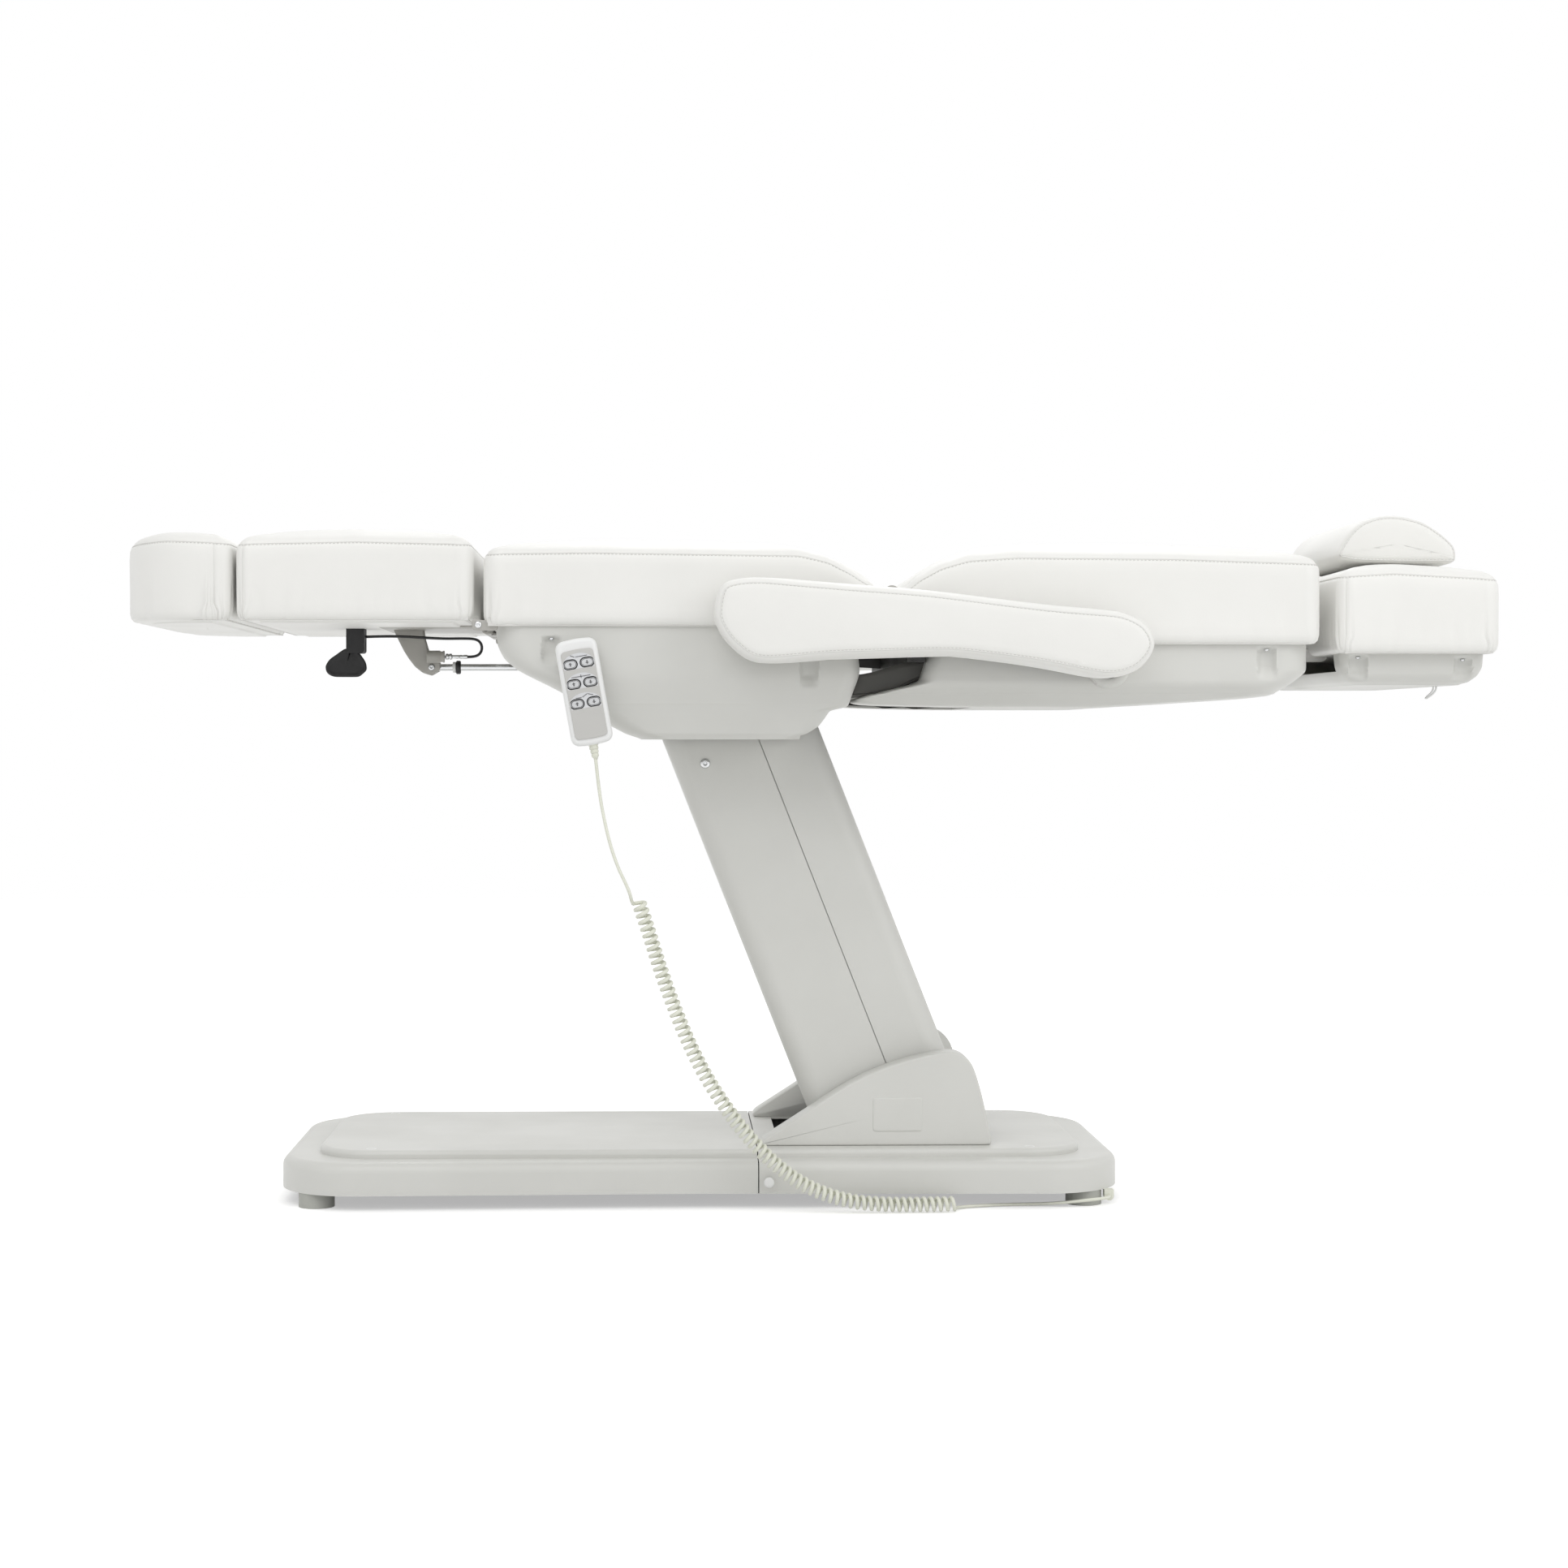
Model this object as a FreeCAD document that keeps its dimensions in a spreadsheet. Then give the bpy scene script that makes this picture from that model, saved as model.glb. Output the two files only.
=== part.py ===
import FreeCAD, Part
import math
import os
import Sketcher

# A powered treatment chair: +X points to the head end, +Z up, the origin lies on the floor under
# the middle of the chair. All lengths are millimetres and all angles degrees.
sizes = {
    # general fits
    "wall": 3.0, "gap": 0.4, "fit": 0.05, "overrun": 30.0, "plate": 10.0, "sheet_steel": 4.0,
    # base
    "base_front_x": -742.0, "base_rear_x": 440.0, "base_half": 250.0, "waist_x": -150.0, "waist_half": 236.0,
    "base_corner": 110.0, "base_clear": 21.0, "base_skirt": 45.0, "base_rim": 14.0, "base_floor": 6.0,
    "panel_margin": 50.0, "panel_rise": 11.0, "panel_corner": 80.0, "panel_rim": 7.0, "cover_seam_x": -72.0,
    "cover_gap": 1.5, "well_front_x": -40.0, "well_rear_x": 262.0, "well_half": 126.0,
    "foot_radius": 25.0, "foot_inset_x": 54.0, "foot_inset_y": 50.0,
    "shroud_toe_x": -68.0, "shroud_toe_rise": 10.0, "shroud_peak_x": 205.0, "shroud_peak_width": 26.0,
    "shroud_rise": 133.0, "shroud_thick": 42.0, "shroud_round": 18.0, "shroud_rim": 8.0,
    "shroud_panel_x": 88.0, "shroud_panel_long": 73.0, "shroud_panel_low": 19.0, "shroud_panel_tall": 49.0,
    "shroud_panel_deep": 1.5,
    "box_front_x": -620.0, "box_long": 190.0, "box_half": 90.0, "box_tall": 34.0,
    "gland_inset_x": 20.0, "gland_inset_y": 33.5, "gland_long": 16.0, "gland_radius": 6.5, "gland_z": 12.5,
    # lift linkage; heights of all that it carries are counted from the seat's tilt axis
    "lean": 21.5, "front_pivot_x": 58.7, "front_pivot_z": 105.0, "pivot_span": 143.7, "pivot_slope": 41.5,
    "arm_long": 600.0, "pin_radius": 9.0, "arm_half_wide": 22.0, "tower_half": 15.0,
    "rear_arm_y": 44.0, "cover_stud": 8.0, "arm_thick": 12.0, "arm_step": 3.0, "cross_radius": 16.0,
    "lever_long": 52.0, "lever_back": 20.0, "lever_half": 11.0, "lever_thick": 16.0, "lever_pin": 6.0,
    "lift_eye": 10.2, "lift_eye_wall": 6.0, "lift_barrel_radius": 16.0, "lift_barrel_long": 280.0,
    "lift_rod_radius": 8.0, "lift_rod_long": 190.0, "lift_barrel_gap": 70.0,
    # column covers, measured square to the arms
    "column_front": 45.0, "column_deep": 215.0, "column_half": 120.0, "column_seam": 127.0, "column_lip": 16.0,
    "column_corner": 28.0, "front_cover_low": 4.0, "front_cover_high": 615.0, "rear_cover_low": -100.0,
    "rear_cover_high": 560.0,
    # seat
    "seat_front_x": -451.0, "seat_rear_x": 94.0, "seat_half": 300.0, "seat_low": 47.5, "seat_pad": 109.0,
    "seat_lip_pad": 47.0, "seat_slope": 94.0, "board_thick": 12.0, "board_inset": 8.0, "rail_wide": 25.0,
    "rail_y": 215.0, "seat_rail_front": 24.0, "seat_cross_front": 96.0,
    "tilt_ear_y": 95.0, "tilt_ear_thick": 8.0, "tilt_ear_radius": 20.0,
    "casing_low": -107.5, "casing_half": 288.0, "casing_foot_half": 255.0, "casing_crease": -23.5,
    "casing_well_x": -222.0, "casing_well_half": 130.0, "rod_slot_half": 34.0,
    "rod_slot_x": -296.0,
    "tilt_lever": 50.0, "tilt_y": -150.0, "tilt_barrel_x": -260.0, "tilt_barrel_long": 130.0,
    "motor_radius": 17.0, "motor_rod": 8.0, "tilt_rod_hidden": 70.0, "motor_eye": 8.0, "motor_eye_wall": 6.0,
    "eye_thick": 6.0, "motor_hanger": 20.0,
    "back_motor_y": 150.0, "back_barrel_x": -330.0, "back_barrel_long": 250.0, "back_rod_hidden": 150.0,
    # leg rest and its gas spring
    "leg_gap": 11.0, "leg_axis_z": 49.5, "knuckle": 6.0, "knuckle_pin": 3.0, "leaf_long": 52.0,
    "leaf_thick": 3.0, "leaf_half": 120.0, "knuckle_half": 33.0,
    "calf_front_x": -787.0, "calf_half": 295.0, "calf_low": 55.5, "calf_pad": 100.0, "calf_board": 28.0,
    "foot_gap": 3.0, "foot_end_x": -950.0, "foot_half": 290.0, "guide_y": 180.0, "guide_radius": 10.0,
    "guide_long": 300.0,
    "gas_pin_x": -542.0, "gas_pin_z": -1.5, "gas_pin": 5.0, "gas_cheek_y": 10.0, "gas_cheek": 5.0,
    "gas_bracket_top_x": -612.0, "gas_bracket_top_long": 60.0, "gas_eye": 12.0, "gas_rod": 5.0,
    "gas_rod_long": 190.0, "gas_barrel": 13.0, "gas_barrel_x": -398.0, "gas_barrel_long": 190.0,
    "release_head": 9.0, "release_head_long": 26.0, "cable_radius": 2.0,
    "housing_x": -661.0, "housing_long": 26.0, "housing_tall": 38.0, "housing_y": -64.0, "housing_wide": 34.0,
    "paddle_long": 56.0, "paddle_drop": 39.0, "paddle_thick": 7.0, "paddle_round": 14.0, "paddle_axis": 4.0,
    # back rest
    "back_axis_x": 106.0, "back_axis_z": 91.5, "back_front_x": 100.0, "back_rear_x": 699.0, "back_half": 300.0,
    "back_low": 35.5, "back_pad": 128.0, "back_end_pad": 120.0,
    "back_toe_x": 121.0, "back_toe_pad": 72.0, "back_taper": 90.0,
    "hinge_pin": 5.0, "hinge_eye": 11.0, "hinge_gap_y": 302.5, "back_cross_x": 128.0, "back_rail_rear": 18.0,
    "back_casing_x": 164.0, "back_casing_low": -60.5, "back_casing_crease": -31.5, "back_casing_half": 284.0,
    "back_casing_foot_half": 235.0, "beak_x": 62.0, "beak_z": -58.5, "beak_rise": 9.0, "back_casing_end": 12.0,
    "back_notch_x": 236.0, "back_lever": 95.0, "back_travel": 75.0,
    # head rest
    "head_gap": 22.0, "head_end_x": 950.0, "head_half": 290.0, "head_low": 23.5, "head_pad": 116.0,
    "head_axis_x": 706.0, "head_axis_z": 13.5, "head_lug_y": 98.0, "head_lug": 6.0, "head_lug_radius": 9.0,
    "head_pin": 4.5, "head_casing_low": -31.5, "head_casing_inset": 12.0, "head_casing_half": 262.0,
    "pillow_x": 750.0, "pillow_long": 176.0, "pillow_half": 165.0, "pillow_tall": 72.0,
    # arm rests
    "arm_front_x": -137.0, "arm_rear_x": 454.0, "arm_inner": 312.0, "arm_wide": 93.0, "arm_pivot_x": 404.0,
    "arm_pivot_z": -8.5, "arm_cup": 28.0, "arm_pin": 8.0, "arm_bar": 3.0, "arm_bar_tall": 30.0,
    "arm_front_low": -14.5, "arm_front_top": 104.5, "arm_mid_low": -6.5, "arm_mid_top": 87.5,
    "arm_end_low": -32.5, "arm_end_top": 60.5,
    # hand control and its curly cord
    "handset_x": -312.0, "handset_z": -42.5, "handset_y": -299.0, "handset_wide": 57.0, "handset_tall": 140.0,
    "handset_thick": 20.0, "handset_tilt": 10.0, "handset_round": 16.0, "handset_rim": 4.0,
    "handset_face": 2.0, "face_margin": 5.0, "key_wide": 17.0, "key_tall": 11.0, "key_pitch_x": 23.0,
    "key_pitch_z": 27.0, "key_rise": 12.0, "key_proud": 0.8, "key_float": 0.9, "hook_wide": 24.0, "hook_tall": 16.0,
    "sleeve_radius": 5.0, "sleeve_tip": 3.2, "sleeve_long": 18.0, "cord_radius": 2.3, "curl_radius": 8.2,
    "curls": 71.0,
    # upholstery
    "cushion_draw": 4.0, "cushion_round": 24.0, "cushion_crown": 9.0, "cushion_corner": 24.0, "cushion_drop": 26.0,
    "foot_corner": 120.0, "pillow_end": 26.0, "arm_round": 22.0,
}


class Size:
    """A measure that knows its value and the sheet formula it comes from."""

    def __init__(self, value, formula):
        self.value = value
        self.formula = formula

    def __add__(self, other):
        other = measured(other)
        return Size(self.value + other.value, f"({self.formula} + {other.formula})")

    def __sub__(self, other):
        other = measured(other)
        return Size(self.value - other.value, f"({self.formula} - {other.formula})")

    def __mul__(self, other):
        other = measured(other)
        return Size(self.value * other.value, f"({self.formula} * {other.formula})")

    def __truediv__(self, other):
        other = measured(other)
        return Size(self.value / other.value, f"({self.formula} / {other.formula})")

    def __neg__(self):
        return Size(-self.value, f"(-{self.formula})")

    def __float__(self):
        return float(self.value)


def measured(number):
    return number if isinstance(number, Size) else Size(float(number), f"{float(number):.6g}")


def sine(angle):
    return Size(math.sin(math.radians(angle.value)), f"sin({angle.formula} * 1 deg)")


def cosine(angle):
    return Size(math.cos(math.radians(angle.value)), f"cos({angle.formula} * 1 deg)")


class Sheet:
    """The document's table of sizes, read by name."""

    def __init__(self, table):
        self.table = document.addObject("Spreadsheet::Sheet", "Sizes")
        for row, (name, value) in enumerate(table.items(), start=1):
            self.table.set(f"A{row}", name)
            self.table.set(f"B{row}", str(value))
            self.table.setAlias(f"B{row}", name)
        document.recompute()

    def __getattr__(self, name):
        return Size(float(self.table.get(name)), f"Sizes.{name}")


document = FreeCAD.newDocument("TreatmentChair")
d = Sheet(sizes)
zero = measured(0.0)
parts = {}


def keep(node, thing):
    thing.Label = node
    parts[node] = thing
    return thing


def bind(thing, field, size):
    thing.setExpression(field, measured(size).formula)


def place(thing, x=zero, y=zero, z=zero, turn=None):
    """Put a piece at a bound point, turned about the Y axis where asked."""
    if turn is not None:
        thing.Placement.Rotation.Axis = FreeCAD.Vector(0, 1, 0)
        thing.Placement = FreeCAD.Placement(FreeCAD.Vector(), FreeCAD.Vector(0, 1, 0), turn.value)
        bind(thing, "Placement.Rotation.Angle", turn)
    for axis, size in zip("xyz", (x, y, z)):
        bind(thing, f"Placement.Base.{axis}", size)
    return thing


def block(low, high):
    """A box between two corners."""
    box = document.addObject("Part::Box", "Block")
    for side, start, end in zip(("Length", "Width", "Height"), low, high):
        bind(box, side, measured(end) - start)
    return place(box, *low)


def rod(radius, start, length, axis):
    """A round bar from a start point along X, Y or Z."""
    turns = {"X": ((0, 1, 0), 90), "Y": ((1, 0, 0), -90), "Z": ((0, 0, 1), 0)}
    bar = document.addObject("Part::Cylinder", "Bar")
    direction, angle = turns[axis]
    bar.Placement = FreeCAD.Placement(FreeCAD.Vector(), FreeCAD.Vector(*direction), angle)
    bind(bar, "Radius", radius)
    bind(bar, "Height", length)
    return place(bar, *start)


def fuse(*things):
    joined = document.addObject("Part::MultiFuse", "Fused")
    joined.Shapes = list(things)
    joined.Refine = True
    return joined


def group(*things):
    several = document.addObject("Part::Compound", "Group")
    several.Links = list(things)
    return several


def cut(base, *tools):
    result = document.addObject("Part::Cut", "Trimmed")
    result.Base = base
    result.Tool = tools[0] if len(tools) == 1 else group(*tools)
    return result


def shared(first, second):
    result = document.addObject("Part::Common", "Shared")
    result.Base = first
    result.Tool = second
    return result


def mirrored(thing):
    """The same piece on the other side of the chair's middle plane."""
    other = document.addObject("Part::Mirroring", "Mirrored")
    other.Source = thing
    other.Normal = FreeCAD.Vector(0, 1, 0)
    return other


def made(thing):
    """Recompute, so that what comes next can read this piece's faces and edges."""
    document.recompute()
    return thing


def draw(body, plane, *outlines):
    """A sketch of closed straight-sided outlines with every corner bound to the sheet."""
    origin = next(f for f in body.Origin.OriginFeatures if f.Role == plane)
    sketch = body.newObject("Sketcher::SketchObject", "Outline")
    sketch.AttachmentSupport = [(origin, "")]
    sketch.MapMode = "FlatFace"
    for outline in outlines:
        first = sketch.GeometryCount
        count = len(outline)
        corners = [FreeCAD.Vector(float(x), float(y), 0) for x, y in outline]
        ends = corners[1:] + corners[:1]
        sketch.addGeometry([Part.LineSegment(a, b) for a, b in zip(corners, ends)])
        rules = [Sketcher.Constraint("Coincident", first + i, 2, first + (i + 1) % count, 1) for i in range(count)]
        sketch.addConstraint(rules)
        for i, (x, y) in enumerate(outline):
            for kind, size in (("DistanceX", x), ("DistanceY", y)):
                rule = Sketcher.Constraint(kind, -1, 1, first + i, 1, float(size))
                bind(sketch, f"Constraints[{sketch.addConstraint(rule)}]", size)
    return sketch


def pad(plane, outline, length, rounds=(), rim=None, one_side=False, rim_above=None):
    """A straight-sided outline made thick about its plane, with rounded corners and a soft outer rim.

    rounds lists (radius, corner numbers), rim is (radius, sides) for the faces at the end of the pad, and
    rim_above leaves out the rim edges whose middle lies lower than that height.
    """
    body = document.addObject("PartDesign::Body", "Body")
    sketch = draw(body, plane, outline)
    thick = body.newObject("PartDesign::Pad", "Pad")
    thick.Profile = sketch
    thick.SideType = "One side" if one_side else "Symmetric"
    bind(thick, "Length", length)
    made(body)
    normal = {"XY_Plane": 2, "XZ_Plane": 1, "YZ_Plane": 0}[plane]
    flat = [i for i in range(3) if i != normal]
    for radius, corners in rounds:
        edges = []
        for number, edge in enumerate(body.Tip.Shape.Edges, start=1):
            ends = [v.Point for v in edge.Vertexes]
            if len(ends) == 2 and all(abs(ends[0][i] - ends[1][i]) < float(d.fit) for i in flat):
                spots = [outline[c] for c in corners]
                if any(math.dist((ends[0][flat[0]], ends[0][flat[1]]), (float(x), float(y))) < float(d.fit)
                       for x, y in spots):
                    edges.append(f"Edge{number}")
        soften(body, radius, edges)
    if rim:
        radius, sides = rim
        spans = [v[normal] for v in (vertex.Point for vertex in body.Tip.Shape.Vertexes)]
        levels = [max(spans) if side > 0 else min(spans) for side in sides]
        edges = [f"Edge{n}" for n, edge in enumerate(body.Tip.Shape.Edges, start=1)
                 if any(all(abs(v.Point[normal] - level) < float(d.fit) for v in edge.Vertexes) for level in levels)
                 and (rim_above is None or edge.CenterOfMass.z > float(rim_above))]
        soften(body, radius, edges)
    return body


def soften(body, radius, edges):
    plain = body.Tip
    fillet = body.newObject("PartDesign::Fillet", "Fillet")
    fillet.Base = (plain, edges)
    bind(fillet, "Radius", radius)
    made(body)


def rectangle(low_x, low_y, high_x, high_y):
    return [(low_x, low_y), (high_x, low_y), (high_x, high_y), (low_x, high_y)]


def link(start, end, radius, low_y, thick):
    """A flat bar with round ends between two points of the XZ plane."""
    (ax, az), (bx, bz) = start, end
    run_x, run_z = bx - ax, bz - az
    long = math.hypot(float(run_x), float(run_z))
    length = Size(long, f"sqrt({(run_x * run_x + run_z * run_z).formula})")
    side_x, side_z = run_z / length * radius, run_x / length * radius
    body = pad("XZ_Plane", [(ax - side_x, az + side_z), (ax + side_x, az - side_z),
                            (bx + side_x, bz - side_z), (bx - side_x, bz + side_z)], thick)
    bind(body, "Placement.Base.y", low_y + thick / 2)
    return fuse(body, rod(radius, (ax, low_y, az), thick, "Y"), rod(radius, (bx, low_y, bz), thick, "Y"))


def both_sides(make, low_y, thick):
    """The same flat piece at +Y and at -Y."""
    return make(low_y), make(-low_y - thick)


def across(radius, point, half):
    """A round bar along Y, centred on the middle plane."""
    return rod(radius, (point[0], -half, point[1]), half * 2, "Y")


# Points of the lift linkage, shared by the base, the arms, the covers and the carrier
front_pivot = (d.front_pivot_x, d.front_pivot_z)
rear_pivot = (front_pivot[0] + d.pivot_span * cosine(d.pivot_slope),
              front_pivot[1] + d.pivot_span * sine(d.pivot_slope))
reach = (-d.arm_long * sine(d.lean), d.arm_long * cosine(d.lean))
front_top = (front_pivot[0] + reach[0], front_pivot[1] + reach[1])
rear_top = (rear_pivot[0] + reach[0], rear_pivot[1] + reach[1])
front_arm_y = d.rear_arm_y + d.arm_thick + d.arm_step
carrier_y = front_arm_y + d.arm_thick + d.arm_step
base_top = d.base_clear + d.base_skirt
panel_top = base_top + d.panel_rise
bore = d.pin_radius + d.fit


class Bed:
    """Heights of the pieces that ride on the lift arms, counted from the tilt axis."""

    def __getattr__(self, name):
        return rear_top[1] + getattr(d, name)


bed = Bed()
lift_tip = (front_pivot[0] - d.lever_long * sine(d.lever_back),
            front_pivot[1] - d.lever_long * cosine(d.lever_back))


def middle(a, b):
    return ((a[0] + b[0]) / 2, (a[1] + b[1]) / 2)


def base_outline(inset):
    front, rear = d.base_front_x + inset, d.base_rear_x - inset
    half, waist = d.base_half - inset, d.waist_half - inset
    return [(front, -half), (d.waist_x, -waist), (rear, -half), (rear, half), (d.waist_x, waist), (front, half)]


def panel_outline(inset):
    return rectangle(d.base_front_x + inset, inset - d.base_half, d.base_rear_x - inset, d.base_half - inset)


def base_covers():
    """Front and rear shells of the base, moulded as one form and parted at the seam."""
    ends = (0, 2, 3, 5)
    skirt = pad("XY_Plane", base_outline(zero), d.base_skirt, [(d.base_corner, ends)], (d.base_rim, (1,)), True)
    place(skirt, z=d.base_clear)
    raised = pad("XY_Plane", panel_outline(d.panel_margin), d.panel_rise + d.wall,
                 [(d.panel_corner, range(4))], (d.panel_rim, (1,)), True)
    place(raised, z=base_top - d.wall)
    inside = pad("XY_Plane", base_outline(d.wall), d.base_skirt - d.wall + d.overrun,
                 [(d.base_corner - d.wall, ends)], (d.base_rim - d.wall, (1,)), True)
    place(inside, z=d.base_clear - d.overrun)
    under = pad("XY_Plane", panel_outline(d.panel_margin + d.panel_rim), d.panel_rise + d.wall,
                [(d.panel_corner - d.panel_rim, range(4))], None, True)
    place(under, z=base_top - d.wall * 2)
    shell = cut(fuse(skirt, raised), inside, under)
    half, low, high = d.base_half + d.overrun, d.base_clear - d.overrun, panel_top + d.overrun
    keep("base_front_cover", shared(shell, block((d.base_front_x - d.overrun, -half, low),
                                                 (d.cover_seam_x - d.cover_gap / 2, half, high))))
    rear = shared(shell, block((d.cover_seam_x + d.cover_gap / 2, -half, low),
                               (d.base_rear_x + d.overrun, half, high)))
    well = block((d.well_front_x, -d.well_half, low), (d.well_rear_x, d.well_half, high))
    keep("base_rear_cover", cut(rear, well))


def column_shrouds():
    toe = panel_top + d.shroud_toe_rise
    peak = panel_top + d.shroud_rise
    outline = [(d.shroud_toe_x, panel_top), (d.well_rear_x, panel_top),
               (d.shroud_peak_x + d.shroud_peak_width, peak), (d.shroud_peak_x, peak), (d.shroud_toe_x, toe)]
    cheek = pad("XZ_Plane", outline, d.shroud_thick, [(d.shroud_round, (2, 3))], (d.shroud_rim, (-1,)),
                rim_above=toe)
    outer = d.well_half + d.cover_gap + d.shroud_thick
    place(cheek, y=d.shroud_thick / 2 - outer)
    low = panel_top + d.shroud_panel_low
    recess = block((d.shroud_panel_x, -outer - d.overrun, low),
                   (d.shroud_panel_x + d.shroud_panel_long, d.shroud_panel_deep - outer, low + d.shroud_panel_tall))
    right = keep("column_shroud_right", cut(cheek, recess))
    keep("column_shroud_left", mirrored(right))


def base_inner():
    """Base frame with its towers and pins, feet, control box, lift motor and cord gland."""
    inset = d.wall + d.gap
    floor = pad("XY_Plane", base_outline(inset), d.base_floor, [(d.base_corner - inset, (0, 2, 3, 5))], None, True)
    place(floor, z=d.base_clear)
    pieces = [floor]
    for pivot in (front_pivot, rear_pivot):
        foot = (pivot[0], d.base_clear + d.tower_half)
        pieces += both_sides(lambda y: link(foot, pivot, d.tower_half, y, d.plate), carrier_y, d.plate)
        pieces.append(across(d.pin_radius, pivot, carrier_y + d.plate + d.arm_step))
    keep("base_frame", fuse(*pieces))
    floor_top = d.base_clear + d.base_floor
    feet = []
    for x in (d.base_front_x + d.foot_inset_x, d.base_rear_x - d.foot_inset_x):
        for side in (-1, 1):
            feet.append(rod(d.foot_radius, (x, (d.base_half - d.foot_inset_y) * side, zero), d.base_clear, "Z"))
    keep("base_feet", group(*feet))
    keep("control_box", block((d.box_front_x, -d.box_half, floor_top),
                              (d.box_front_x + d.box_long, d.box_half, floor_top + d.box_tall)))
    eye = (lift_tip[0], d.lever_thick / 2 + d.arm_step, lift_tip[1])
    start = eye[0] - d.lift_barrel_gap - d.lift_barrel_long
    axis_y = eye[1] + d.lift_eye_wall / 2
    tube = rod(d.lift_barrel_radius, (start, axis_y, eye[2]), d.lift_barrel_long, "X")
    cradle = block((start, axis_y - d.lift_barrel_radius, floor_top),
                   (start + d.lift_barrel_long, axis_y + d.lift_barrel_radius, eye[2]))
    hole = rod(d.lift_rod_radius + d.fit, (start + d.lift_barrel_radius, axis_y, eye[2]), d.lift_barrel_long, "X")
    keep("lift_motor", cut(fuse(tube, cradle), hole))
    ring = rod(d.lift_eye + d.lift_eye_wall, eye, d.lift_eye_wall, "Y")
    clear = d.lift_eye + d.lift_eye_wall * 2
    shank = rod(d.lift_rod_radius, (eye[0] - d.lift_rod_long, axis_y, eye[2]), d.lift_rod_long - clear, "X")
    tang = block((eye[0] - clear - d.lift_rod_radius, eye[1], eye[2] - d.lift_rod_radius),
                 (eye[0], eye[1] + d.lift_eye_wall, eye[2] + d.lift_rod_radius))
    opening = rod(d.lift_eye, (eye[0], eye[1] - d.overrun, eye[2]), d.overrun * 2, "Y")
    keep("lift_rod", cut(fuse(shank, tang, ring), opening))
    gland_x, gland_y = d.base_rear_x - d.gland_inset_x, d.gland_inset_y - d.base_half
    bush = rod(d.gland_radius, (gland_x, gland_y, d.gland_z), d.gland_long, "Y")
    stem = block((gland_x - d.gland_radius, gland_y, d.gland_z),
                 (gland_x + d.gland_radius, gland_y + d.gland_long, d.base_clear))
    keep("cord_gland", fuse(bush, stem))


stud_shares = (0.3, 0.75)


def cover_studs(pivot, start, end):
    """Studs on both sides of an arm that its cover is screwed to."""
    studs = []
    for share in stud_shares:
        x, z = pivot[0] + reach[0] * share, pivot[1] + reach[1] * share
        studs += [rod(d.cover_stud, (x, y, z), end - start, "Y") for y in (start, -end)]
    return studs


def lift_arms():
    lever_y = -d.lever_thick / 2
    wide = carrier_y + d.overrun
    bars = both_sides(lambda y: link(front_pivot, front_top, d.arm_half_wide, y, d.arm_thick),
                      front_arm_y, d.arm_thick)
    hub = across(d.arm_half_wide, front_pivot, front_arm_y)
    tube = across(d.cross_radius, middle(front_pivot, front_top), front_arm_y)
    studs = cover_studs(front_pivot, front_arm_y + d.arm_thick, d.column_half - d.wall)
    lever = link(front_pivot, lift_tip, d.lever_half, lever_y, d.lever_thick)
    pin = rod(d.lever_pin, (lift_tip[0], lever_y, lift_tip[1]),
              d.lever_thick + d.arm_step * 2 + d.lift_eye_wall, "Y")
    keep("front_arm", cut(fuse(*bars, *studs, hub, tube, lever, pin),
                          across(bore, front_pivot, wide), across(bore, front_top, wide)))
    bars = both_sides(lambda y: link(rear_pivot, rear_top, d.arm_half_wide, y, d.arm_thick),
                      d.rear_arm_y, d.arm_thick)
    hub = across(d.arm_half_wide, rear_pivot, d.rear_arm_y)
    tube = across(d.cross_radius, middle(rear_pivot, rear_top), d.rear_arm_y)
    studs = cover_studs(rear_pivot, d.rear_arm_y + d.arm_thick, d.column_half - d.wall * 2 - d.gap)
    keep("rear_arm", cut(fuse(*bars, *studs, hub, tube),
                         across(bore, rear_pivot, wide), across(bore, rear_top, wide)))


def column_covers():
    """Two channel mouldings, one on each arm; the rear one slides inside the front one as the chair sinks."""
    seam = d.column_seam - d.column_front
    half, inner = d.column_half, d.column_half - d.wall
    outline = [(seam, -half), (-d.column_front, -half), (-d.column_front, half), (seam, half),
               (seam, inner), (d.wall - d.column_front, inner), (d.wall - d.column_front, -inner), (seam, -inner)]
    front = pad("XY_Plane", outline, d.front_cover_high - d.front_cover_low,
                [(d.column_corner, (1, 2)), (d.column_corner - d.wall, (5, 6))], None, True)
    low_x, low_z = -d.front_cover_low * sine(d.lean), d.front_cover_low * cosine(d.lean)
    place(front, front_pivot[0] + low_x, zero, front_pivot[1] + low_z, turn=-d.lean)
    keep("column_front_cover", front)
    offset = d.pivot_span * cosine(d.pivot_slope - d.lean)
    back, step = d.column_deep - d.column_front - offset, seam + d.cover_gap - offset
    lip = step - d.column_lip
    tuck, thin = inner - d.gap, inner - d.gap - d.wall
    outline = [(lip, -tuck), (step, -tuck), (step, -half), (back, -half), (back, half), (step, half), (step, tuck),
               (lip, tuck), (lip, thin), (back - d.wall, thin), (back - d.wall, -thin), (lip, -thin)]
    rear = pad("XY_Plane", outline, d.rear_cover_high - d.rear_cover_low,
               [(d.column_corner, (3, 4)), (d.column_corner - d.wall, (9, 10))], None, True)
    low_x, low_z = -d.rear_cover_low * sine(d.lean), d.rear_cover_low * cosine(d.lean)
    place(rear, rear_pivot[0] + low_x, zero, rear_pivot[1] + low_z, turn=-d.lean)
    keep("column_rear_cover", rear)


tilt_eye = (rear_top[0], rear_top[1] - d.tilt_lever)


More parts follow.
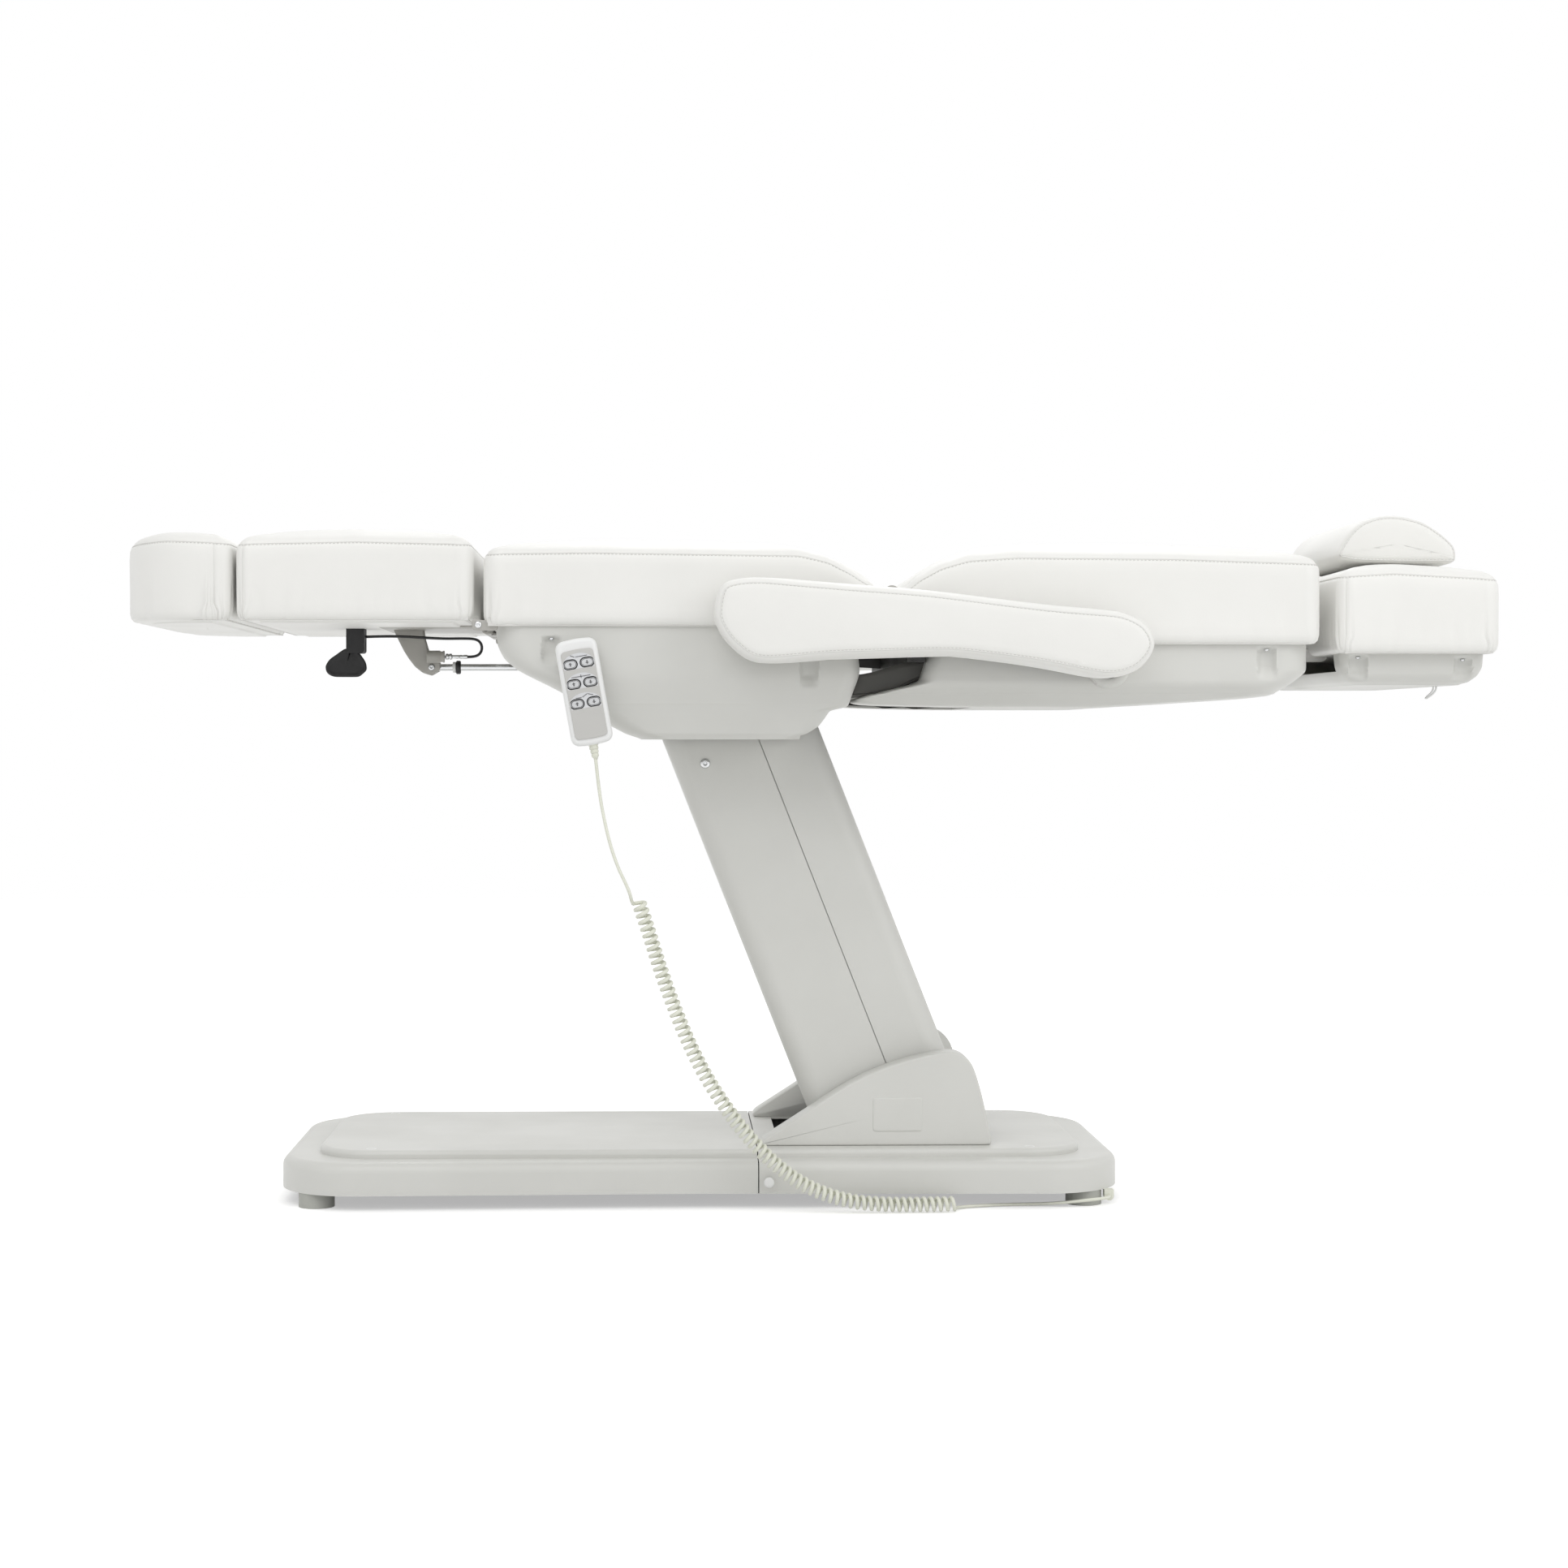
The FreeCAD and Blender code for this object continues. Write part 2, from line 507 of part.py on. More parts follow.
def carrier():
    """Plates that stay level on top of the arms, with the shaft on which the seat tilts."""
    plates = both_sides(lambda y: link(front_top, rear_top, d.tilt_ear_radius, y, d.plate), carrier_y, d.plate)
    bar = across(d.cross_radius, middle(front_top, rear_top), carrier_y)
    pin = across(d.pin_radius, front_top, carrier_y + d.plate)
    start = d.tilt_y - d.eye_thick
    shaft = rod(d.pin_radius, (rear_top[0], start, rear_top[1]),
                d.tilt_ear_y + d.tilt_ear_thick + d.arm_step - start, "Y")
    lever = link(rear_top, tilt_eye, d.lever_half, start, d.eye_thick)
    peg = rod(d.lever_pin, (tilt_eye[0], start, tilt_eye[1]), d.eye_thick * 2 + d.arm_step, "Y")
    keep("lift_carrier", fuse(*plates, bar, pin, shaft, lever, peg))


def motor(x, y, z, length, hanger_top, rod_radius):
    """A motor barrel hung from the board above it, bored for its rod."""
    tube = rod(d.motor_radius, (x, y, z), length, "X")
    hanger = block((x, y - d.motor_rod, z), (x + d.motor_hanger, y + d.motor_rod, hanger_top))
    hole = rod(rod_radius + d.fit, (x + d.motor_hanger, y, z), length, "X")
    return cut(fuse(tube, hanger), hole)


def motor_rod(name, eye, y, reach_back, tall):
    """A motor rod with an upright slotted eye beside the lever that it moves."""
    wide, high = d.motor_eye + d.motor_eye_wall, tall + d.motor_eye_wall
    low_y = y - d.eye_thick / 2
    shank = rod(d.motor_rod, (eye[0] - reach_back, y, eye[1]), reach_back - d.motor_eye, "X")
    trim = [block((eye[0] - wide, start, eye[1] - d.overrun), (eye[0], end, eye[1] + d.overrun))
            for start, end in ((y - d.overrun, low_y), (low_y + d.eye_thick, y + d.overrun))]
    slab = block((eye[0] - wide, low_y, eye[1] - high), (eye[0] + wide, low_y + d.eye_thick, eye[1] + high))
    slot = block((eye[0] - d.motor_eye, low_y - d.overrun, eye[1] - tall),
                 (eye[0] + d.motor_eye, low_y + d.overrun, eye[1] + tall))
    keep(name, cut(fuse(cut(shank, *trim), slab), slot))


casing_shares = [(0.03, 1.0), (0.035, 0.83), (0.053, 0.71), (0.087, 0.61), (0.197, 0.42), (0.325, 0.11),
                 (0.403, 0.0), (0.794, 0.0), (0.855, 0.12), (0.876, 0.26), (0.919, 0.29), (0.927, 0.36),
                 (0.949, 0.59), (0.94, 0.82), (0.94, 1.0)]
open_end_share = 0.8


def casing_profile(inset, rise):
    """The seat casing's side outline, drawn in by a wall and left open above where a rise is given."""
    front, rear, low = d.seat_front_x + inset, d.seat_rear_x - inset, bed.casing_low + inset
    top = bed.seat_low - bed.casing_low - inset
    spots = [(front + (rear - front) * x, low + top * z) for x, z in casing_shares]
    lifted = [(x, z + rise) if share[1] == 1.0 else (x, z) for (x, z), share in zip(spots, casing_shares)]
    return pad("XZ_Plane", lifted, d.casing_half * 2)


def cross_profile(top_half, foot_half, top, crease, low, long):
    """The casing's end outline: upright sides above the crease, drawn in below it."""
    outline = [(-foot_half, low), (foot_half, low), (top_half, crease), (top_half, top), (-top_half, top),
               (-top_half, crease)]
    return pad("YZ_Plane", outline, long)


def seat_casing():
    long = (d.seat_rear_x - d.seat_front_x) * 2
    outer = shared(casing_profile(zero, zero),
                   cross_profile(d.casing_half, d.casing_foot_half, bed.seat_low, bed.casing_crease,
                                 bed.casing_low, long))
    inner = shared(casing_profile(d.wall, d.overrun),
                   cross_profile(d.casing_half - d.wall, d.casing_foot_half - d.wall, bed.seat_low + d.overrun,
                                 bed.casing_crease, bed.casing_low, long))
    low, high = bed.casing_low - d.overrun, bed.seat_low + d.overrun
    well = block((d.casing_well_x, -d.casing_well_half, low), (d.seat_rear_x, d.casing_well_half, high))
    end_x = d.seat_front_x + (d.seat_rear_x - d.seat_front_x) * open_end_share
    half = d.casing_foot_half - d.wall
    end = block((end_x, -half, low), (d.seat_rear_x, half, high))
    slot = block((d.seat_front_x, -d.rod_slot_half, low), (d.rod_slot_x, d.rod_slot_half, high))
    keep("seat_casing", cut(outer, inner, well, end, slot))


def seat_frame():
    low, high = bed.seat_low - d.rail_wide, bed.seat_low
    front, rear = d.seat_front_x + d.seat_rail_front, d.seat_rear_x - d.board_inset
    half = d.rail_wide / 2
    rails = [block((front, y - half, low), (rear, y + half, high)) for y in (-d.rail_y, d.rail_y)]
    keep("seat_rails", group(*rails))
    tubes = [block((x - half, half - d.rail_y, low), (x + half, d.rail_y - half, high))
             for x in (d.seat_front_x + d.seat_cross_front, rear_top[0])]
    ear_top = (rear_top[0], high - d.tilt_ear_radius)
    ears = both_sides(lambda y: link(ear_top, rear_top, d.tilt_ear_radius, y, d.tilt_ear_thick),
                      d.tilt_ear_y, d.tilt_ear_thick)
    bracket = cut(fuse(tubes[1], *ears), across(bore, rear_top, d.rail_y))
    keep("seat_cross_tubes", group(tubes[0], bracket))
    board_half = d.seat_half - d.board_inset
    keep("seat_board", block((d.seat_front_x + d.board_inset, -board_half, high),
                             (rear, board_half, high + d.board_thick)))
    outer = d.hinge_gap_y + d.sheet_steel + d.gap
    axis = (d.back_axis_x, bed.back_axis_z)
    stub = (rear - d.hinge_eye, high - d.hinge_eye)
    plates = []
    for side in (1, -1):
        low_y = outer if side > 0 else -outer - d.sheet_steel
        rail_face = d.rail_y + half
        arm_start = rail_face if side > 0 else -outer - d.sheet_steel
        arm = block((rear - d.hinge_eye * 2, arm_start, high - d.hinge_eye * 2),
                    (rear, arm_start + outer + d.sheet_steel - rail_face, high))
        pin_y = d.hinge_gap_y if side > 0 else -outer - d.sheet_steel
        pin = rod(d.hinge_pin, (axis[0], pin_y, axis[1]), d.sheet_steel * 2 + d.gap, "Y")
        plates.append(fuse(link(stub, axis, d.hinge_eye, low_y, d.sheet_steel), arm, pin))
    keep("seat_hinge_plates", group(*plates))


leg_axis = (d.seat_front_x - d.leg_gap / 2, bed.leg_axis_z)
calf_rear_x = d.seat_front_x - d.leg_gap


def leg_hinge():
    """A butt hinge under the boards: the pin and middle knuckle on the seat, the outer knuckles on the leg rest."""
    half = d.knuckle_half
    leaf = block((leg_axis[0], -half, bed.seat_low - d.leaf_thick), (leg_axis[0] + d.leaf_long, half, bed.seat_low))
    pin = across(d.knuckle_pin, leg_axis, d.leaf_half)
    keep("leg_hinge", fuse(leaf, across(d.knuckle, leg_axis, half), pin))
    low, high = bed.calf_low - d.leaf_thick, bed.calf_low
    clear = calf_rear_x - d.knuckle
    flange = block((d.gas_bracket_top_x, -d.leaf_half, low), (clear, d.leaf_half, high))
    wings = []
    for start in (half + d.gap, -d.leaf_half):
        wide = d.leaf_half - half - d.gap
        wings.append(block((clear, start, low), (leg_axis[0], start + wide, high)))
        wings.append(rod(d.knuckle, (leg_axis[0], start, leg_axis[1]), wide, "Y"))
    pivot = (d.gas_pin_x, bed.gas_pin_z)
    cheek = [(d.gas_bracket_top_x, high), (d.gas_bracket_top_x + d.gas_bracket_top_long, high),
             (pivot[0] + d.gas_eye, pivot[1] + d.gas_eye / 2), (pivot[0] + d.gas_eye, pivot[1] - d.gas_eye),
             (pivot[0] - d.gas_eye, pivot[1] - d.gas_eye)]
    cheeks = []
    for side in (1, -1):
        body = pad("XZ_Plane", cheek, d.gas_cheek, [(d.gas_eye * 2, (4,)), (d.gas_eye / 2, (2, 3))])
        cheeks.append(place(body, y=(d.gas_cheek_y + d.gas_cheek / 2) * side))
    pin = across(d.gas_pin, pivot, d.gas_cheek_y + d.gas_cheek)
    head = rod(d.release_head, release_mouth, d.release_head_long, "X")
    holes = across(d.knuckle_pin + d.fit, leg_axis, d.leaf_half + d.overrun)
    keep("leg_bracket", cut(fuse(flange, *wings, *cheeks, pin, head), holes))
    eye = across(d.gas_eye - d.arm_step, pivot, d.gas_cheek_y - d.gap)
    shank = rod(d.gas_rod, (pivot[0], zero, pivot[1]), d.gas_rod_long, "X")
    keep("gas_spring_rod", cut(fuse(eye, shank), across(d.gas_pin + d.fit, pivot, d.overrun)))
    barrel = rod(d.gas_barrel, (d.gas_barrel_x, zero, pivot[1]), d.gas_barrel_long, "X")
    inside = rod(d.gas_rod + d.fit, (d.gas_barrel_x - d.overrun, zero, pivot[1]),
                 d.gas_barrel_long + d.overrun - d.gas_barrel, "X")
    keep("gas_spring_cylinder", cut(barrel, inside))


release_rise_share = 1.25
release_mouth = (d.gas_pin_x - d.gas_eye / 2, -d.gas_cheek_y - d.gas_cheek - d.release_head + d.arm_step / 2,
                 bed.gas_pin_z + d.gas_eye * release_rise_share)


def release_lever():
    """Black lever housing under the calf board with the paddle that lets the gas spring go."""
    low, rear = bed.calf_low - d.housing_tall, d.housing_x + d.housing_long
    shell = pad("XZ_Plane", rectangle(d.housing_x, low, rear, bed.calf_low), d.housing_wide,
                [(d.paddle_axis, (0, 1))])
    centre = d.housing_y + d.housing_wide / 2
    place(shell, y=centre)
    slot_half = d.paddle_thick / 2 + d.gap
    slot = block((d.housing_x - d.overrun, centre - slot_half, low - d.overrun),
                 (rear + d.overrun, centre + slot_half, low + d.housing_tall / 2))
    axis = (d.housing_x + d.housing_long / 2, low + d.housing_tall / 4)
    pin = rod(d.paddle_axis / 2, (axis[0], d.housing_y, axis[1]), d.housing_wide, "Y")
    keep("lever_housing", fuse(cut(shell, slot), pin))
    reach_x = axis[0] + d.housing_long / 2 + d.gap
    paddle = pad("XZ_Plane", [(reach_x, low), (reach_x - d.paddle_long, low), (axis[0], low - d.paddle_drop)],
                 d.paddle_thick, [(d.paddle_round, (2,)), (d.paddle_axis, (0, 1))], (d.paddle_axis / 2, (1, -1)))
    place(paddle, y=centre)
    tongue = link((axis[0], low - d.paddle_axis), axis, d.paddle_axis * 2, centre - d.paddle_thick / 2,
                  d.paddle_thick)
    keep("release_paddle", cut(fuse(paddle, tongue), across(d.paddle_axis / 2 + d.fit, axis, d.base_half)))


foot_round_share = 0.9


def leg_boards():
    top = bed.calf_low + d.calf_board
    half = d.calf_half - d.board_inset
    board = block((d.calf_front_x + d.board_inset, -half, bed.calf_low), (calf_rear_x - d.board_inset, half, top))
    level = (bed.calf_low + top) / 2
    rods = [rod(d.guide_radius + d.fit, (d.calf_front_x - d.overrun, d.guide_y * side, level),
                calf_rear_x - d.calf_front_x + d.overrun, "X") for side in (-1, 1)]
    keep("calf_board", cut(board, *rods))
    rear = d.calf_front_x - d.foot_gap - d.board_inset
    front = d.foot_end_x + d.board_inset * 3
    spread = d.foot_half - d.board_inset
    outline = [(front, -spread), (rear, -spread), (rear, spread), (front, spread)]
    footing = pad("XY_Plane", outline, d.calf_board, [((rear - front) * foot_round_share, (0, 3))], None, True)
    place(footing, z=bed.calf_low)
    guides = [rod(d.guide_radius, (front + d.overrun, d.guide_y * side, level), d.guide_long, "X")
              for side in (-1, 1)]
    keep("foot_board", fuse(footing, *guides))


back_axis = (d.back_axis_x, bed.back_axis_z)
back_board_low = bed.back_low - d.board_thick
back_tip = (back_axis[0] - d.back_lever * sine(d.back_travel / 2),
            back_axis[1] - d.back_lever * cosine(d.back_travel / 2))
back_eye_z = (back_tip[1] + back_axis[1] - d.back_lever) / 2
head_axis = (d.head_axis_x, bed.head_axis_z)


def back_frame():
    """Back rest tubes and board, the dark hinge plates, the motor lever and the head rest lugs."""
    half, top = d.rail_wide / 2, back_board_low
    low, end = top - d.rail_wide, d.back_rear_x - d.back_rail_rear
    start = d.back_cross_x + d.rail_wide
    keep("back_rails", group(*[block((start, y - half, low), (end, y + half, top)) for y in (-d.rail_y, d.rail_y)]))
    root = (d.back_cross_x + half, low + half)
    front = block((d.back_cross_x, -d.hinge_gap_y, low), (start, d.hinge_gap_y, top))
    plates = both_sides(lambda y: link(root, back_axis, d.hinge_eye, y, d.sheet_steel),
                        d.hinge_gap_y, d.sheet_steel)
    lever_y = d.back_motor_y - d.eye_thick / 2 - d.eye_thick - d.arm_step
    lever = link(root, back_tip, d.lever_half, lever_y, d.eye_thick)
    peg = rod(d.lever_pin, (back_tip[0], lever_y, back_tip[1]), d.eye_thick * 2 + d.arm_step * 2, "Y")
    crossbar = cut(fuse(front, *plates, lever, peg), across(d.hinge_pin + d.fit, back_axis, d.hinge_gap_y * 2))
    keep("back_crossbar", crossbar)
    rear = block((end - d.rail_wide, half - d.rail_y, low), (end, d.rail_y - half, top))
    lugs = both_sides(lambda y: link((end - half, head_axis[1]), head_axis, d.head_lug_radius, y, d.head_lug),
                      d.head_lug_y, d.head_lug)
    keep("head_lugs", cut(fuse(rear, *lugs), across(d.head_pin + d.fit, head_axis, d.rail_y)))
    board_half = d.back_half - d.board_inset
    keep("back_board", block((d.back_cross_x, -board_half, top), (end, board_half, bed.back_low)))


back_front_shares = [(0.0, 1.0), (-0.03, 0.38)]
back_under_shares = [(-0.07, 0.0), (0.45, -0.03), (0.91, 0.17), (1.0, 0.56), (1.0, 1.0)]
back_hollow_shares = [(0.0, 1.0), (-0.025, 0.33), (-0.13, 0.14), (-0.13, 0.03), (-0.06, 0.0), (0.45, -0.03),
                      (0.91, 0.17), (1.0, 0.56), (1.0, 1.0)]


def back_casing():
    """Moulded tray under the back rest, with a lip towards the seat and the arm rest cups on its sides."""
    front, end, long = d.back_casing_x, d.back_rear_x - d.back_casing_end, d.back_rear_x * 4
    tall = back_board_low - bed.back_casing_low

    def outline(shares, inset, rise):
        spots = []
        for x, z in shares:
            point_z = bed.back_casing_low + inset + (tall - inset) * z
            spots.append((front + inset + (end - front - inset * 2) * x, point_z + rise if z == 1.0 else point_z))
        return spots

    lip = [(d.beak_x, bed.beak_z + d.beak_rise), (d.beak_x, bed.beak_z)]
    around = outline(back_front_shares, zero, zero) + lip + outline(back_under_shares, zero, zero)
    outer_side = pad("XZ_Plane", around, d.back_casing_half * 2)
    inner_side = pad("XZ_Plane", outline(back_hollow_shares, d.wall, d.overrun), d.back_casing_half * 2)
    low = bed.back_casing_low - d.wall
    outer = shared(outer_side, cross_profile(d.back_casing_half, d.back_casing_foot_half, back_board_low,
                                             bed.back_casing_crease, low, long))
    inner = shared(inner_side, cross_profile(d.back_casing_half - d.wall, d.back_casing_foot_half - d.wall,
                                             back_board_low + d.overrun, bed.back_casing_crease, low, long))
    notch = block((d.beak_x - d.overrun, -d.casing_well_half, low - d.overrun),
                  (d.back_notch_x, d.casing_well_half, bed.back_casing_crease + d.motor_radius))
    reach_y = d.head_lug_y + d.head_lug + d.gap
    gate = block((end - d.overrun, -reach_y, head_axis[1] - d.head_lug_radius - d.gap),
                 (end + d.overrun, reach_y, back_board_low + d.overrun))
    rail_half, rail_low = d.rail_wide / 2 + d.gap, back_board_low - d.rail_wide - d.gap
    rooms = [block((front - d.overrun, y - rail_half, rail_low), (front + d.overrun, y + rail_half, bed.back_low))
             for y in (-d.rail_y, d.rail_y)]
    cups = []
    deep = d.arm_inner - d.gap * 2 - d.arm_bar - d.back_casing_half + d.wall
    for side in (1, -1):
        start = d.back_casing_half - d.wall if side > 0 else d.wall - d.back_casing_half - deep
        cups.append(rod(d.arm_cup, (d.arm_pivot_x, start, bed.arm_pivot_z), deep, "Y"))
    holes = across(d.arm_pin + d.fit, (d.arm_pivot_x, bed.arm_pivot_z), d.arm_inner)
    keep("back_casing", cut(fuse(cut(outer, inner, notch, gate, *rooms), *cups), holes))


def head_rest():
    front, end = d.back_rear_x + d.head_gap + d.head_casing_inset, d.head_end_x - d.head_casing_inset
    low, half = bed.head_low - d.board_thick, d.head_half - d.board_inset
    board = block((front, -half, low), (end, half, bed.head_low))
    lug_y = d.head_lug_y + d.head_lug + d.gap
    foot = (front + d.head_lug_radius, head_axis[1])
    lugs = both_sides(lambda y: link(head_axis, foot, d.head_lug_radius, y, d.head_lug), lug_y, d.head_lug)
    pins = both_sides(lambda y: rod(d.head_pin, (head_axis[0], y, head_axis[1]), d.head_lug * 2 + d.gap, "Y"),
                      d.head_lug_y, d.head_lug * 2 + d.gap)
    keep("head_board", fuse(board, *lugs, *pins))
    lean = d.head_casing_inset

    def tray(inset, rise):
        floor, top = bed.head_casing_low + inset, low + rise
        return pad("XZ_Plane", [(front + inset, top), (front + lean / 2 + inset, floor + lean),
                                (front + lean * 2, floor), (end - lean * 2, floor), (end - inset, floor + lean),
                                (end - inset, top)], d.head_casing_half * 2)

    foot_half = d.head_casing_half - lean * 2
    outer = shared(tray(zero, zero), cross_profile(d.head_casing_half, foot_half, low, bed.head_casing_low + lean,
                                                   bed.head_casing_low, end * 4))
    inner = shared(tray(d.wall, d.overrun),
                   cross_profile(d.head_casing_half - d.wall, foot_half - d.wall, low + d.overrun,
                                 bed.head_casing_low + lean, bed.head_casing_low, end * 4))
    reach = d.head_lug_y + d.head_lug * 3
    gate = block((front - d.overrun, -reach, head_axis[1] - d.head_lug_radius * 2),
                 (front + d.head_lug_radius * 3, reach, low + d.overrun))
    keep("head_casing", cut(outer, inner, gate))


def arm_brackets():
    low_y = d.arm_inner - d.gap - d.arm_bar
    pivot = (d.arm_pivot_x, bed.arm_pivot_z)
    tip = ((d.arm_pivot_x + d.arm_front_x) / 2, (bed.arm_mid_low + bed.arm_mid_top) / 2)
    bar = link(pivot, tip, d.arm_bar_tall / 2, low_y, d.arm_bar)
    pin = rod(d.arm_pin, (pivot[0], d.back_casing_half, pivot[1]), low_y - d.back_casing_half, "Y")
    left = keep("arm_bracket_left", fuse(bar, pin))
    keep("arm_bracket_right", mirrored(left))


key_side_shares = (-0.5, 0.5)
key_row_shares = (1.0, 0.0, -1.0)
key_round_share = 0.96
half_turn = measured(180)


def handset():
    """Hand control with six travelling keys, hung on the seat casing by the hook on its back."""
    turn = -d.handset_tilt
    half_x, half_z = d.handset_wide / 2, d.handset_tall / 2
    shell = pad("XZ_Plane", rectangle(-half_x, -half_z, half_x, half_z), d.handset_thick,
                [(d.handset_round, range(4))], (d.handset_rim, (-1,)))
    place(shell, d.handset_x, d.handset_y - d.handset_thick / 2, bed.handset_z, turn)
    sleeve = document.addObject("Part::Cone", "Sleeve")
    for field, size in (("Radius1", d.sleeve_radius), ("Radius2", d.sleeve_tip),
                        ("Height", d.sleeve_long + d.wall)):
        bind(sleeve, field, size)
    root = half_z - d.wall
    place(sleeve, d.handset_x + root * sine(d.handset_tilt), d.handset_y - d.handset_thick / 2,
          bed.handset_z - root * cosine(d.handset_tilt), half_turn - d.handset_tilt)
    hook = block((d.handset_x - d.hook_wide / 2, d.handset_y - d.wall, bed.handset_z + half_z / 2),
                 (d.handset_x + d.hook_wide / 2, -d.casing_half - d.gap, bed.handset_z + half_z / 2 + d.hook_tall))
    keep("handset_case", fuse(shell, sleeve, hook))
    front = d.handset_y - d.handset_thick
    wide, tall = half_x - d.face_margin, half_z - d.face_margin
    face = pad("XZ_Plane", rectangle(-wide, -tall, wide, tall), d.handset_face,
               [(d.handset_round - d.face_margin, range(4))])
    place(face, d.handset_x, front - d.handset_face / 2, bed.handset_z, turn)
    holes, number = [], 0
    for row in key_row_shares:
        for side in key_side_shares:
            x, z = d.key_pitch_x * side, d.key_rise + d.key_pitch_z * row
            number += 1
            for room in (zero, d.gap):
                half_w, half_t = d.key_wide / 2 + room, d.key_tall / 2 + room
                thick = d.handset_face + d.key_proud - d.key_float if room is zero else d.handset_thick
                key = pad("XZ_Plane", rectangle(x - half_w, z - half_t, x + half_w, z + half_t), thick,
                          [(half_t * key_round_share, range(4))])
                depth = front - d.key_float - thick / 2 if room is zero else front
                place(key, d.handset_x, depth, bed.handset_z, turn)
                if room is zero:
                    keep(f"key_{number}", key)
                else:
                    holes.append(key)
    keep("handset_face", cut(face, *holes))


# Soft forms
def soft(node, shape):
    """A form worked out from the sheet's sizes; it is a plain shape of the document."""
    feature = document.addObject("Part::Feature", "Soft")
    feature.Shape = shape
    return keep(node, feature)


bulge_share, curve_tall_share, curve_half_share, crown_share = 0.16, 0.4, 0.6, 0.3
diagonal = math.sqrt(0.5)


def station(x, half, low, top, crown, rounding):
    """One closed cross section: flat below, bulging sides, round shoulders and a crowned top."""
    tall = top - low
    curve = min(rounding, tall * curve_tall_share, half * curve_half_share)
    rise = min(crown, tall * crown_share)
    shoulder, edge = top - rise - curve, top - rise
    side = half - min(soft_sizes["cushion_draw"], tall * bulge_share)

    def at(y, z):
        return FreeCAD.Vector(x, y, z)

    right = [at(side, low), at(half, (low + shoulder) / 2), at(side, shoulder),
             at(side - curve * (1 - diagonal), shoulder + curve * diagonal), at(side - curve, edge)]
    left = [FreeCAD.Vector(x, -p.y, p.z) for p in right]
    edges = [Part.LineSegment(left[0], right[0]), Part.Arc(right[0], right[1], right[2]),
             Part.Arc(right[2], right[3], right[4]), Part.Arc(right[4], at(0, top), left[4]),
             Part.Arc(left[4], left[3], left[2]), Part.Arc(left[2], left[1], left[0])]
    return Part.Wire([edge.toShape() for edge in edges])


end_shares = ((0.0, 1.0), (0.1, 0.56), (0.35, 0.24), (0.7, 0.046), (1.0, 0.0))
seat_fall_shares = ((0.0, 0.0), (0.25, 0.15), (0.6, 0.5), (0.9, 0.88), (1.0, 1.0))
back_climb_shares = ((0.35, 0.52), (0.7, 0.84), (1.0, 0.98), (1.6, 1.0))


def rounded_stations(front, rear, half, low, top, front_round, rear_round, drop, between=()):
    """Stations of a cushion whose ends are round in plan and roll down at the rim."""
    rows = [(front + front_round * t, half - front_round * inset, low, top - drop * inset)
            for t, inset in end_shares]
    rows += list(between)
    rows += [(rear - rear_round * t, half - rear_round * inset, low, top - drop * inset)
             for t, inset in reversed(end_shares)]
    return rows


def cushion(rows, crown, rounding):
    return Part.makeLoft([station(*row, crown, rounding) for row in rows], True, True)


bed_heights = ("seat_low", "calf_low", "back_low", "head_low", "arm_front_low", "arm_front_top", "arm_mid_low",
               "arm_mid_top", "arm_end_low", "arm_end_top")
soft_sizes = {name: float(getattr(bed if name in bed_heights else d, name)) for name in sizes}


